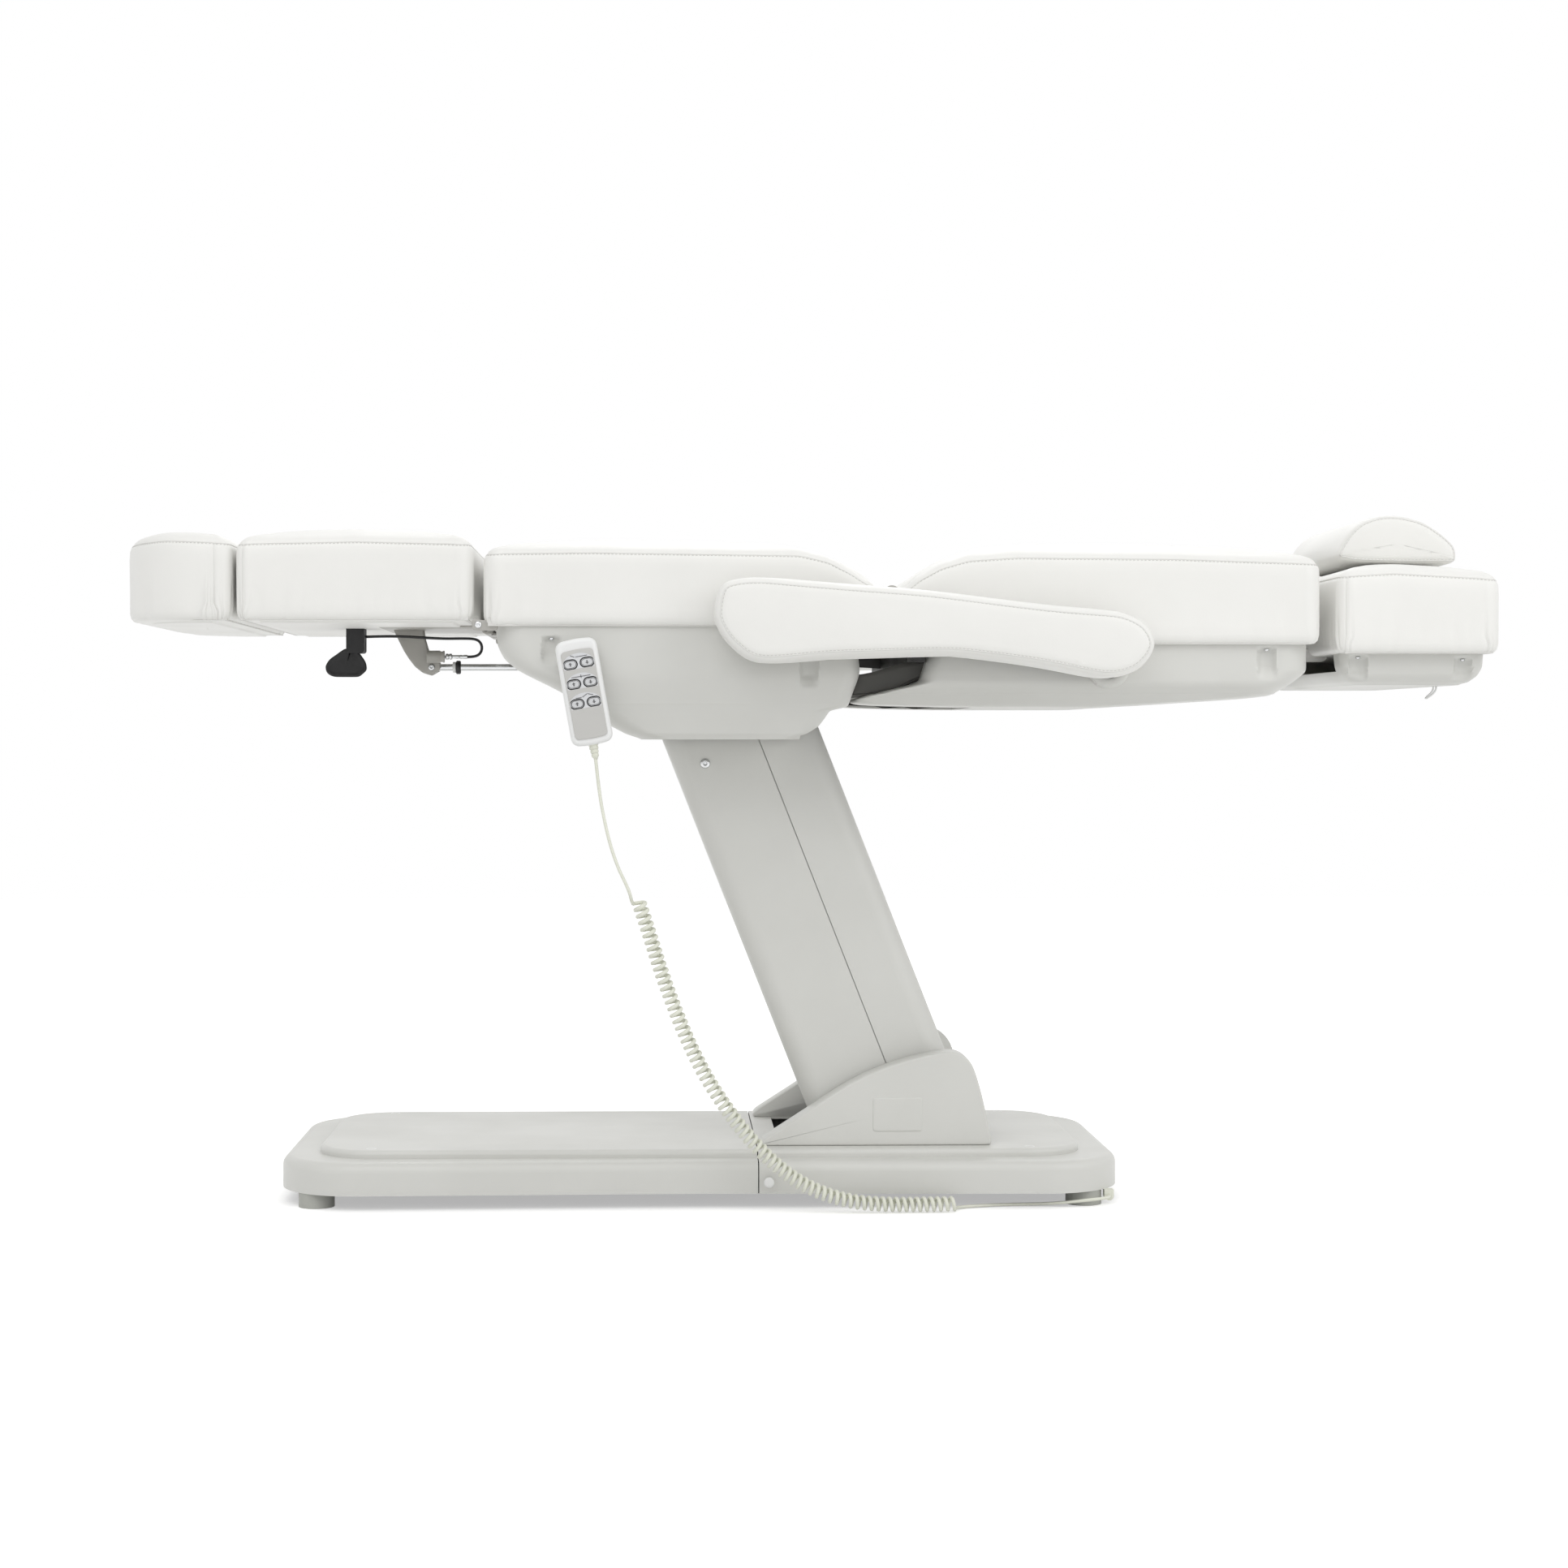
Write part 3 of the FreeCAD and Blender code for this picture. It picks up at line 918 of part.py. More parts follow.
def cushions():
    s = soft_sizes
    crown, curve, corner, drop = s["cushion_crown"], s["cushion_round"], s["cushion_corner"], s["cushion_drop"]
    calf_floor = s["calf_low"] + s["calf_board"]
    calf_top = calf_floor + s["calf_pad"]
    foot_rear, foot_round = s["calf_front_x"] - s["foot_gap"], s["foot_corner"]
    soft("foot_cushion", cushion(rounded_stations(s["foot_end_x"], foot_rear, s["foot_half"], calf_floor, calf_top,
                                                  foot_round, corner, drop), crown, curve))
    soft("calf_cushion", cushion(rounded_stations(s["calf_front_x"], s["seat_front_x"] - s["leg_gap"], s["calf_half"],
                                                  calf_floor, calf_top, corner, corner, drop), crown, curve))
    seat_floor = s["seat_low"] + s["board_thick"]
    seat_top = seat_floor + s["seat_pad"]
    slope = s["seat_rear_x"] - s["seat_slope"]
    rows = rounded_stations(s["seat_front_x"], s["seat_rear_x"], s["seat_half"], seat_floor, seat_top,
                            corner, corner, drop)[:len(end_shares)]
    fall = s["seat_pad"] - s["seat_lip_pad"]
    for share, lower in seat_fall_shares:
        inset = corner / 2 if share == 1.0 else 0.0
        rows.append((slope + s["seat_slope"] * share, s["seat_half"] - inset, seat_floor, seat_top - fall * lower))
    soft("seat_cushion", cushion(rows, crown, curve))
    rows = []
    toe, toe_top = s["back_toe_x"] - s["back_front_x"], s["back_low"] + s["back_toe_pad"]
    rows.append((s["back_front_x"], s["back_half"] - corner / 2, s["back_low"], s["back_low"] + toe))
    rows.append((s["back_toe_x"], s["back_half"], s["back_low"], toe_top))
    climb = s["back_pad"] - s["back_toe_pad"]
    for share, rise in back_climb_shares:
        rows.append((s["back_toe_x"] + s["back_taper"] * share, s["back_half"], s["back_low"],
                     toe_top + climb * rise))
    tail = rounded_stations(s["back_front_x"], s["back_rear_x"], s["back_half"], s["back_low"], s["back_low"] + s["back_end_pad"],
                            corner, corner, drop)[len(end_shares):]
    soft("back_cushion", cushion(rows + tail, crown, curve))
    head_front = s["back_rear_x"] + s["head_gap"]
    head_top = s["head_low"] + s["head_pad"]
    soft("head_cushion", cushion(rounded_stations(head_front, s["head_end_x"], s["head_half"], s["head_low"], head_top,
                                                  corner, corner, drop), crown, curve))
    pillow_low = head_top + s["gap"]
    pillow = cushion(rounded_stations(-s["pillow_half"], s["pillow_half"], s["pillow_long"] / 2, pillow_low,
                                      pillow_low + s["pillow_tall"], s["pillow_end"], s["pillow_end"], s["pillow_end"]),
                     s["pillow_tall"] * crown_share, s["pillow_tall"] * curve_tall_share)
    pillow.rotate(FreeCAD.Vector(), FreeCAD.Vector(0, 0, 1), 90)
    pillow.translate(FreeCAD.Vector(s["pillow_x"] + s["pillow_long"] / 2, 0, 0))
    soft("head_pillow", pillow)
    ends = s["arm_round"]
    middle_x = (s["arm_front_x"] + s["arm_rear_x"]) / 2
    half = s["arm_wide"] / 2
    rows = []
    for t, inset in end_shares:
        rows.append((s["arm_front_x"] + ends * t, half - ends * inset, s["arm_front_low"] + ends * inset,
                     s["arm_front_top"] - ends * inset))
    rows.append((middle_x, half, s["arm_mid_low"], s["arm_mid_top"]))
    for t, inset in reversed(end_shares):
        rows.append((s["arm_rear_x"] - ends * t, half - ends * inset, s["arm_end_low"] + ends * inset,
                     s["arm_end_top"] - ends * inset))
    for node, side in (("arm_pad_left", 1), ("arm_pad_right", -1)):
        form = cushion(rows, crown / 2, curve)
        form.translate(FreeCAD.Vector(0, side * (s["arm_inner"] + half), 0))
        soft(node, form)


# Cords: straight runs joined by tangent arcs, each arc as large as its two runs allow
run_share = 0.45


def path_of(points):
    spots = [FreeCAD.Vector(*p) for p in points]
    edges, radii, last = [], [], spots[0]
    for before, corner, after in zip(spots, spots[1:], spots[2:]):
        back, onward = (before - corner), (after - corner)
        shorter = min(back.Length, onward.Length)
        back.normalize()
        onward.normalize()
        turn = math.pi - back.getAngle(onward)
        trim = run_share * shorter
        radii.append(trim / math.tan(turn / 2))
        start, end = corner + back * trim, corner + onward * trim
        inward = (back + onward).normalize()
        centre = corner + inward * (radii[-1] / math.cos(turn / 2))
        edges.append(Part.LineSegment(last, start).toShape())
        edges.append(Part.Arc(start, centre - inward * radii[-1], end).toShape())
        last = end
    edges.append(Part.LineSegment(last, spots[-1]).toShape())
    return Part.Wire(edges), radii


def tube(wire, radius, ahead):
    start = wire.Vertexes[0].Point
    ring = Part.Wire([Part.makeCircle(radius, start, ahead)])
    return wire.makePipeShell([ring], True, False)


def laid_cord(node, points, radius):
    wire, radii = path_of(points)
    solid = tube(wire, radius, FreeCAD.Vector(*points[1]) - FreeCAD.Vector(*points[0]))
    ideal = math.pi * radius ** 2 * wire.Length
    print(f"{node}: length {wire.Length:.1f}, volume share {solid.Volume / ideal:.4f}, radii",
          " ".join(f"{r:.0f}" for r in radii))
    soft(node, solid)


def biarc(start, start_way, end, end_way):
    """Two arcs that leave the start and reach the end along the given ways."""
    chord = end - start
    ways = start_way + end_way
    a = 2 * (1 - start_way.dot(end_way))
    b = 2 * chord.dot(ways)
    c = -chord.dot(chord)
    reach = (-b + math.sqrt(b * b - 4 * a * c)) / (2 * a)
    joint = ((start + start_way * reach) + (end - end_way * reach)) / 2
    arcs = []
    for point, way, other in ((start, start_way, joint), (end, -end_way, joint)):
        across_way = other - point
        square = across_way - way * across_way.dot(way)
        square.normalize()
        radius = across_way.dot(across_way) / (2 * across_way.dot(square))
        centre = point + square * radius
        half = (point - centre) + (other - centre)
        half.normalize()
        ends = (point, other) if other is joint and point is start else (other, point)
        arcs.append(Part.Arc(ends[0], centre + half * radius, ends[1]).toShape())
    return arcs


def curly_cord(points):
    """The coiled cord: one tube on biarcs of half a turn about the route, with straight ends."""
    s = soft_sizes
    radius, wind, turns = s["cord_radius"], s["curl_radius"], int(s["curls"])
    route, radii = path_of(points)
    steps = turns * 2
    line = route.discretize(Number=steps + 1)
    side = FreeCAD.Vector(0, 1, 0)
    pitch = route.Length / turns
    spots, ways = [], []
    for i, centre in enumerate(line):
        along = line[min(i + 1, steps)] - line[max(i - 1, 0)]
        along.normalize()
        first = side - along * side.dot(along)
        first.normalize()
        second = along.cross(first)
        sign = -math.cos(math.pi * i)
        spots.append(centre + second * (wind * sign))
        around = first * (-2 * math.pi * wind * sign) + along * pitch
        around.normalize()
        ways.append(around)
    edges = [Part.LineSegment(spots[0] - ways[0] * (2 * radius), spots[0]).toShape()]
    for i in range(steps):
        edges += biarc(spots[i], ways[i], spots[i + 1], ways[i + 1])
    edges.append(Part.LineSegment(spots[-1], spots[-1] + ways[-1] * (2 * radius)).toShape())
    wire = Part.Wire(edges)
    solid = tube(wire, radius, ways[0])
    marks = wire.discretize(Distance=radius)
    skip = int(math.pi * wind / radius)
    least = min((a - b).Length for i, a in enumerate(marks) for b in marks[i + skip:i + skip * 4])
    print(f"curly_cord: length {wire.Length:.0f}, pitch {pitch:.2f}, least gap to itself {least - 2 * radius:.2f},",
          f"volume share {solid.Volume / (math.pi * radius ** 2 * wire.Length):.4f}")
    print("curly_cord ends:", spots[0] - ways[0] * (2 * radius), spots[-1] + ways[-1] * (2 * radius))
    soft("curly_cord", solid)


upper_lead = [(-296.7, -309, 629.5), (-291.7, -314, 581.3), (-284.5, -322, 542.8), (-276, -331, 508),
              (-265.5, -339.5, 478.5), (-256, -345, 459.5), (-250, -346.5, 446), (-247.3, -338.5, 433.5),
              (-246, -324.9, 430)]
curly_route = [(-238, -320, 432), (-223.5, -318, 389), (-210.3, -315, 344.8), (-192.7, -312, 295),
               (-172.8, -308, 245), (-148.5, -303, 194.8), (-116.3, -297, 144.3), (-79.6, -290, 96.8),
               (-40.5, -284, 59.3), (-1.5, -280, 34.2), (43.2, -277, 18.2), (87.8, -275, 12.3),
               (143.4, -274, 11.5), (197, -272, 12)]
lower_lead = [(197.74, -267.45, 3.81), (199.5, -258, 3.6), (207, -249, 3.4), (222, -241, 3.2), (248, -233, 3.2),
              (285, -227, 3.2), (322, -228, 3.6), (355, -233.5, 6.3), (382, -236, 9.5), (403, -236.5, 11.8),
              (416.5, -230.5, 12.5), (420, -217.1, 12.5)]
release_cable_route = [(-634.6, -47, 800), (-606, -46, 801), (-576, -41, 800.5), (-546, -33, 799), (-520, -28, 798),
                       (-497, -26, 798.5), (-475.6, -25, 798), (-468, -24.5, 790.4), (-468, -24, 779.6),
                       (-475.6, -23.5, 772), (-497, -22.6, 771.6), (-521.5, -22.5, 772)]


def finish():
    """Check every piece and write its solid."""
    document.recompute()
    for thing in document.Objects:
        if "Invalid" in thing.State or "Error" in thing.State:
            raise RuntimeError(f"{thing.Name} ({thing.Label}) failed: {thing.State}")
    os.makedirs("parts", exist_ok=True)
    for node, thing in parts.items():
        if thing.Shape.isNull() or not thing.Shape.isValid() or not thing.Shape.Solids:
            raise RuntimeError(f"{node} has no valid solid")
        thing.Shape.exportStep(f"parts/{node}.step")
    print(len(parts), "pieces written")


base_covers()
column_shrouds()
base_inner()
lift_arms()
column_covers()
carrier()
seat_frame()
seat_casing()
tilt_axis_y = d.tilt_y + d.eye_thick
keep("seat_motors", group(
    motor(d.tilt_barrel_x, tilt_axis_y, tilt_eye[1], d.tilt_barrel_long, bed.seat_low, d.motor_rod),
    motor(d.back_barrel_x, d.back_motor_y, back_eye_z, d.back_barrel_long, bed.seat_low, d.motor_rod)))
motor_rod("tilt_rod", tilt_eye, tilt_axis_y, d.tilt_rod_hidden * 2, d.motor_eye)
motor_rod("back_rod", (back_tip[0], back_eye_z), d.back_motor_y, d.back_rod_hidden * 2,
          back_tip[1] - back_eye_z + d.lever_pin + d.gap * 3)
leg_hinge()
release_lever()
leg_boards()
back_frame()
back_casing()
head_rest()
arm_brackets()
handset()
cushions()
laid_cord("cord_upper_lead", upper_lead, soft_sizes["cord_radius"])
curly_cord(curly_route)
laid_cord("cord_lower_lead", lower_lead, soft_sizes["cord_radius"])
laid_cord("release_cable", release_cable_route, soft_sizes["cable_radius"])
finish()
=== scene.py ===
import bmesh
import bpy
import math
import numpy as np
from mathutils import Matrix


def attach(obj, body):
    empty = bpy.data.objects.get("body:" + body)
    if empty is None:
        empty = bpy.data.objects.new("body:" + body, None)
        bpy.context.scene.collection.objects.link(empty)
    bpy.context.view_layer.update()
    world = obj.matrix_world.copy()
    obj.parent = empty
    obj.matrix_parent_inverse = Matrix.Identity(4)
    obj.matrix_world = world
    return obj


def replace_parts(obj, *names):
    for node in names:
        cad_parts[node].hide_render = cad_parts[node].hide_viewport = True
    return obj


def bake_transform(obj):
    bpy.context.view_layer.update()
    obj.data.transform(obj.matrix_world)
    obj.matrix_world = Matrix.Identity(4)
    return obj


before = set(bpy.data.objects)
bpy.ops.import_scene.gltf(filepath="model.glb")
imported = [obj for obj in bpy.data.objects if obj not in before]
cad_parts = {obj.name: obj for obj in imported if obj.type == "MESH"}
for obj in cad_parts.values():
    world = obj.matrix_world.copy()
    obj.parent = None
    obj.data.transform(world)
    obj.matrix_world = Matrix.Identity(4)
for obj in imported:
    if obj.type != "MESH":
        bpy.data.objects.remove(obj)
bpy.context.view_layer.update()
scene = bpy.context.scene
scene.view_settings.view_transform = "Standard"
hands = (("Right", -1.0), ("Left", 1.0))
print("frame loaded:", len(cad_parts), "nodes")

# Meshes from arrays


def addMesh(name, points, faces, finish, body, smooth=True):
    # points is (count, 3) in metres, faces a list of index arrays; the finish goes on the mesh
    mesh = bpy.data.meshes.new(name)
    corners = [row for block in faces for row in np.asarray(block).tolist()]
    mesh.from_pydata(np.asarray(points, float).tolist(), [], corners)
    mesh.polygons.foreach_set("use_smooth", np.full(len(mesh.polygons), smooth))
    mesh.update()
    piece = bpy.data.objects.new(name, mesh)
    scene.collection.objects.link(piece)
    if finish:
        mesh.materials.append(finish)
    if body:
        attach(piece, body)
    return piece


def quads(rows, columns, flip=False):
    # faces of a grid of rows by columns whose last column joins the first
    r, c = np.meshgrid(np.arange(rows - 1), np.arange(columns), indexing="ij")
    a, b = r * columns + c, r * columns + (c + 1) % columns
    order = [a, a + columns, b + columns, b] if flip else [a, b, b + columns, a + columns]
    return np.stack(order, -1).reshape(-1, 4)


def fan(start, count, pole, flip=False):
    # triangles from a ring of points to one pole
    ring = start + np.arange(count)
    following = start + (np.arange(count) + 1) % count
    order = [following, ring] if flip else [ring, following]
    return np.stack(order + [np.full(count, pole)], -1)


def closedForm(name, rings, finish, body, flip=False):
    # rings is (rows, columns, 3); both ends close on the middle of their ring
    rows, columns, _ = rings.shape
    poles = np.stack([rings[0].mean(0), rings[-1].mean(0)])
    count = rows * columns
    faces = [quads(rows, columns, flip), fan(0, columns, count, not flip),
             fan(count - columns, columns, count + 1, flip)]
    return addMesh(name, np.concatenate([rings.reshape(-1, 3), poles]), faces, finish, body)


def readVectors(items, kind):
    # one vector for each vertex or face
    values = np.empty(len(items) * 3)
    items.foreach_get(kind, values)
    return values.reshape(-1, 3)


def bake(piece):
    # the piece's modifiers become its mesh
    ready = bpy.data.meshes.new_from_object(piece.evaluated_get(bpy.context.evaluated_depsgraph_get()))
    piece.modifiers.clear()
    piece.data = ready
    return ready


def wayAlong(points):
    # the distance walked to each point of a line
    return np.concatenate([[0.0], np.cumsum(np.linalg.norm(np.diff(points, axis=0), axis=1))])


def along(points, count):
    # the line resampled to evenly spaced points
    way = wayAlong(points)
    even = np.linspace(0, way[-1], count)
    return np.stack([np.interp(even, way, points[:, i]) for i in range(points.shape[1])], -1)


def loopAlong(points, count):
    # a closed line resampled to evenly spaced points
    return along(np.concatenate([points, points[:1]]), count + 1)[:-1]


def unit(vectors):
    # each vector divided by its length
    return vectors / np.maximum(np.linalg.norm(vectors, axis=-1, keepdims=True), 1e-12)


def fullTurn(sides):
    # evenly spaced angles round a circle
    return np.linspace(0, 2 * math.pi, sides, endpoint=False)


def bellWeights(width):
    # a bell's steps and its weights, which add up to one
    reach = int(3 * width)
    steps = np.arange(-reach, reach + 1)
    bell = np.exp(-(steps / width)**2)
    return steps, bell / bell.sum()


def tubeRings(line, radius, sides):
    # a round profile carried along a line
    ahead = unit(np.gradient(line, axis=0))
    reference = np.array([0.0, 1.0, 0.0]) if abs(ahead[:, 1]).max() < 0.95 else np.array([0.31, 0.2, 0.93])
    across = unit(np.cross(ahead, reference))
    over = np.cross(ahead, across)
    angle = fullTurn(sides)[None, :, None]
    return line[:, None] + radius * (np.cos(angle) * across[:, None] + np.sin(angle) * over[:, None])


def discRings(profile, sides):
    # (radius, height) pairs spun about Z
    angle = fullTurn(sides)
    radius, height = np.array(profile).T[..., None]
    level = np.broadcast_to(height, (len(radius), sides))
    return np.stack([radius * np.cos(angle), radius * np.sin(angle), level], -1)


def spun(name, profile, sides, ahead, place, finish, body):
    # a profile spun about Z, turned to point ahead and set in its place
    out = unit(np.array(ahead, float))
    side = unit(np.cross((0.0, 0.0, 1.0) if abs(out[2]) < 0.95 else (1.0, 0.0, 0.0), out))
    rings = discRings(profile, sides) @ np.stack([side, np.cross(out, side), out])
    return closedForm(name, rings + np.array(place), finish, body)


# Shader groups shared by the finishes


def setInputs(node, constants):
    # each constant goes on the socket with its label
    for label, value in constants.items():
        node.inputs[label].default_value = value


def addNode(tree, kind, constants):
    # a shader node with constants on its inputs
    node = tree.nodes.new("ShaderNode" + kind)
    setInputs(node, constants)
    return node


def join(tree, *wires):
    # each wire runs from an output to an input: node, socket, node, socket
    for start, output, end, entry in wires:
        tree.links.new(start.outputs[output], end.inputs[entry])


def shaderGroup(name, inputs, outputs):
    # a group whose inputs and outputs are numbers, or colours where the value has four parts
    group = bpy.data.node_groups.new(name, "ShaderNodeTree")
    for label, value in inputs.items():
        kind = "NodeSocketColor" if isinstance(value, tuple) else "NodeSocketFloat"
        group.interface.new_socket(label, in_out="INPUT", socket_type=kind).default_value = value
    for label, kind in outputs.items():
        group.interface.new_socket(label, in_out="OUTPUT", socket_type=kind)
    return group, group.nodes.new("NodeGroupInput"), group.nodes.new("NodeGroupOutput")


def grainGroup():
    # pebbled grain: cell borders mixed with a finer noise
    group, start, end = shaderGroup("pebbledGrain", {"Scale": 900.0, "Fine": 0.4},
                                    {"Height": "NodeSocketFloat", "Shade": "NodeSocketFloat"})
    place = addNode(group, "TexCoord", {})
    cells = addNode(group, "TexVoronoi", {})
    cells.feature = "DISTANCE_TO_EDGE"
    noise = addNode(group, "TexNoise", {"Detail": 3.0})
    broad = addNode(group, "TexNoise", {"Scale": 7.0, "Detail": 4.0})
    mix = addNode(group, "Mix", {})
    join(group, (place, "Object", cells, "Vector"), (place, "Object", noise, "Vector"),
         (place, "Object", broad, "Vector"), (start, "Scale", cells, "Scale"), (start, "Scale", noise, "Scale"),
         (start, "Fine", mix, "Factor"), (cells, "Distance", mix, "A"), (noise, "Fac", mix, "B"),
         (mix, "Result", end, "Height"), (broad, "Fac", end, "Shade"))
    return group


def toneGroup():
    # two tones and two roughness values spread by a mask
    group, start, end = shaderGroup("tonedSurface", {
        "Mask": 0.5, "Light": (0.8, 0.8, 0.8, 1.0), "Dark": (0.7, 0.7, 0.7, 1.0), "Smooth": 0.4, "Rough": 0.5},
        {"Color": "NodeSocketColor", "Roughness": "NodeSocketFloat"})
    spread = addNode(group, "MapRange", {"From Min": 0.35, "From Max": 0.65})
    tone = addNode(group, "Mix", {})
    tone.data_type = "RGBA"
    gloss = addNode(group, "Mix", {})
    dark, light, mixed = 6, 7, 2  # the colour sockets of the mix, which share their labels with the others
    join(group, (start, "Mask", spread, "Value"), (spread, "Result", tone, "Factor"),
         (start, "Dark", tone, dark), (start, "Light", tone, light), (spread, "Result", gloss, "Factor"),
         (start, "Rough", gloss, "A"), (start, "Smooth", gloss, "B"), (tone, mixed, end, "Color"),
         (gloss, "Result", end, "Roughness"))
    return group


grain, toned = grainGroup(), toneGroup()


def makeFinish(name, slot, light, dark, smooth, rough, scale, fine, relief, metallic=0.0, sheen=0.0):
    # one Principled shader fed by the grain and tone groups
    material = bpy.data.materials.new(name)
    material.use_nodes = True
    tree = material.node_tree
    shader = tree.nodes["Principled BSDF"]
    setInputs(shader, {"Metallic": metallic, "Sheen Weight": sheen})
    texture, surface = [tree.nodes.new("ShaderNodeGroup") for _ in range(2)]
    texture.node_tree, surface.node_tree = grain, toned
    setInputs(texture, {"Scale": scale, "Fine": fine})
    setInputs(surface, {"Light": (*light, 1.0), "Dark": (*dark, 1.0), "Smooth": smooth, "Rough": rough})
    bump = addNode(tree, "Bump", {"Strength": 0.6, "Distance": relief})
    join(tree, (texture, "Shade", surface, "Mask"), (texture, "Height", bump, "Height"),
         (surface, "Color", shader, "Base Color"), (surface, "Roughness", shader, "Roughness"),
         (bump, "Normal", shader, "Normal"))
    return material


# name: slot, light and dark tone, least and most roughness, grain scale, share of fine grain, relief in metres,
# and where they aren't none, metallic and sheen
finishTable = {
    "whiteLeatherette": ("white_leatherette", (0.87, 0.866, 0.838), (0.848, 0.844, 0.816), 0.42, 0.5,
        620.0, 0.45, 0.00022, 0.0, 0.05),
    "seamLeatherette": ("white_leatherette", (0.81, 0.806, 0.78), (0.78, 0.776, 0.75), 0.45, 0.55, 700.0,
        0.5, 0.0002),
    "stitchThread": ("white_leatherette", (0.7, 0.695, 0.67), (0.62, 0.615, 0.59), 0.6, 0.75, 2600.0, 0.6,
        0.0001, 0.0, 0.1),
    "greyMoulding": ("grey_moulding", (0.675, 0.675, 0.645), (0.65, 0.65, 0.62), 0.38, 0.48, 1300.0, 0.7,
        0.00012),
    "darkHingeSteel": ("dark_steel", (0.085, 0.083, 0.075), (0.066, 0.065, 0.059), 0.4, 0.52, 1400.0, 0.6,
        0.0001),
    "blackCoatedSteel": (None, (0.03, 0.029, 0.028), (0.018, 0.018, 0.018), 0.38, 0.5, 1500.0, 0.6,
        0.0001),
    "greyPaintedSteel": ("grey_steel", (0.46, 0.45, 0.42), (0.41, 0.4, 0.37), 0.34, 0.46, 900.0, 0.7,
        0.0001),
    "polishedSteel": ("bright_steel", (0.72, 0.73, 0.74), (0.6, 0.61, 0.62), 0.12, 0.24, 2200.0, 0.9,
        3e-05, 1.0),
    "blackGripPlastic": ("motor_black", (0.02, 0.02, 0.021), (0.012, 0.012, 0.013), 0.42, 0.6, 1100.0, 0.4,
        0.00018),
    "boardBackingCloth": (None, (0.74, 0.735, 0.71), (0.69, 0.685, 0.66), 0.7, 0.8, 900.0, 0.6, 0.0003),
    "greyFootRubber": (None, (0.46, 0.465, 0.43), (0.4, 0.405, 0.375), 0.6, 0.75, 800.0, 0.6, 0.0002),
    "handsetShell": ("handset_white", (0.86, 0.865, 0.86), (0.835, 0.84, 0.835), 0.32, 0.4, 1600.0, 0.6,
        6e-05),
    "handsetMembrane": ("handset_grey", (0.565, 0.56, 0.54), (0.54, 0.535, 0.515), 0.45, 0.55, 2400.0, 0.7,
        5e-05),
    "handsetKeys": (None, (0.66, 0.67, 0.68), (0.62, 0.63, 0.64), 0.4, 0.5, 2400.0, 0.7, 5e-05),
    "printedLines": ("handset_grey", (0.15, 0.15, 0.155), (0.12, 0.12, 0.125), 0.5, 0.6, 2000.0, 0.5,
        2e-05),
    "printedPanels": ("handset_grey", (0.69, 0.7, 0.715), (0.665, 0.675, 0.69), 0.5, 0.6, 2000.0, 0.5,
        2e-05),
    "creamCordJacket": ("cord_cream", (0.79, 0.8, 0.7), (0.74, 0.75, 0.65), 0.4, 0.5, 1500.0, 0.6, 6e-05,
        0.0, 0.03),
    "blackCableJacket": ("cable_black", (0.022, 0.022, 0.023), (0.014, 0.014, 0.015), 0.42, 0.55, 1800.0,
        0.6, 8e-05)}
(leatherette, piping, thread, moulding, hingeSteel, blackSteel, greySteel, brightSteel, blackPlastic,
 boardCover, footRubber, shellWhite, membrane, keyGrey, printDark, printPale, cordJacket, cableJacket) = [
    makeFinish(name, *row) for name, row in finishTable.items()]
print("finishes made:", len(bpy.data.materials))

nodeFinishes = {
    moulding: ["base_front_cover", "base_rear_cover", "column_shroud_right", "column_shroud_left",
               "column_front_cover", "column_rear_cover", "seat_casing", "back_casing", "head_casing"],
    blackSteel: ["base_frame", "front_arm", "rear_arm", "lift_carrier", "seat_rails", "seat_cross_tubes",
                 "back_rails", "back_crossbar", "head_lugs", "arm_bracket_left", "arm_bracket_right"],
    greySteel: ["leg_hinge", "leg_bracket", "seat_hinge_plates"],
    brightSteel: ["lift_rod", "tilt_rod", "back_rod", "gas_spring_rod"],
    blackPlastic: ["control_box", "lift_motor", "seat_motors", "lever_housing", "release_paddle",
                   "gas_spring_cylinder"],
    boardCover: ["seat_board", "back_board", "head_board", "calf_board", "foot_board"],
    footRubber: ["base_feet"],
    shellWhite: ["handset_case"],
    membrane: ["handset_face"],
    keyGrey: [f"key_{n}" for n in range(1, 7)],
    cordJacket: ["cord_gland"],
}
for finish, names in nodeFinishes.items():
    for name in names:
        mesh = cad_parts[name].data
        mesh.materials.clear()
        mesh.materials.append(finish)
print("finishes put on", sum(len(names) for names in nodeFinishes.values()), "nodes")

# Camera, light and floor
view = {"place": (-0.218, -4.0, 0.655), "yaw": 1.4, "pitch": 0.8, "focal": 3350.0, "image": 1932.0,
        "sensor": 36.0, "vanishing": (805.0, 908.0), "far": 60.0}


def addCamera(settings):
    # the lens is set from the focal length in pixels, and the shift takes up what the small turn leaves
    data = bpy.data.cameras.new("photoCamera")
    image, focal = settings["image"], settings["focal"]
    data.sensor_width = settings["sensor"]
    data.lens = settings["sensor"] * focal / image
    camera = bpy.data.objects.new("photoCamera", data)
    camera.location = settings["place"]
    yaw, pitch = math.radians(settings["yaw"]), math.radians(settings["pitch"])
    camera.rotation_euler = (math.pi / 2 - pitch, 0.0, -yaw)
    data.shift_x = (image / 2 - settings["vanishing"][0] - focal * math.tan(yaw)) / image
    data.shift_y = (settings["vanishing"][1] - image / 2 + focal * math.tan(pitch)) / image
    data.clip_end = settings["far"]
    scene.collection.objects.link(camera)
    scene.camera = camera


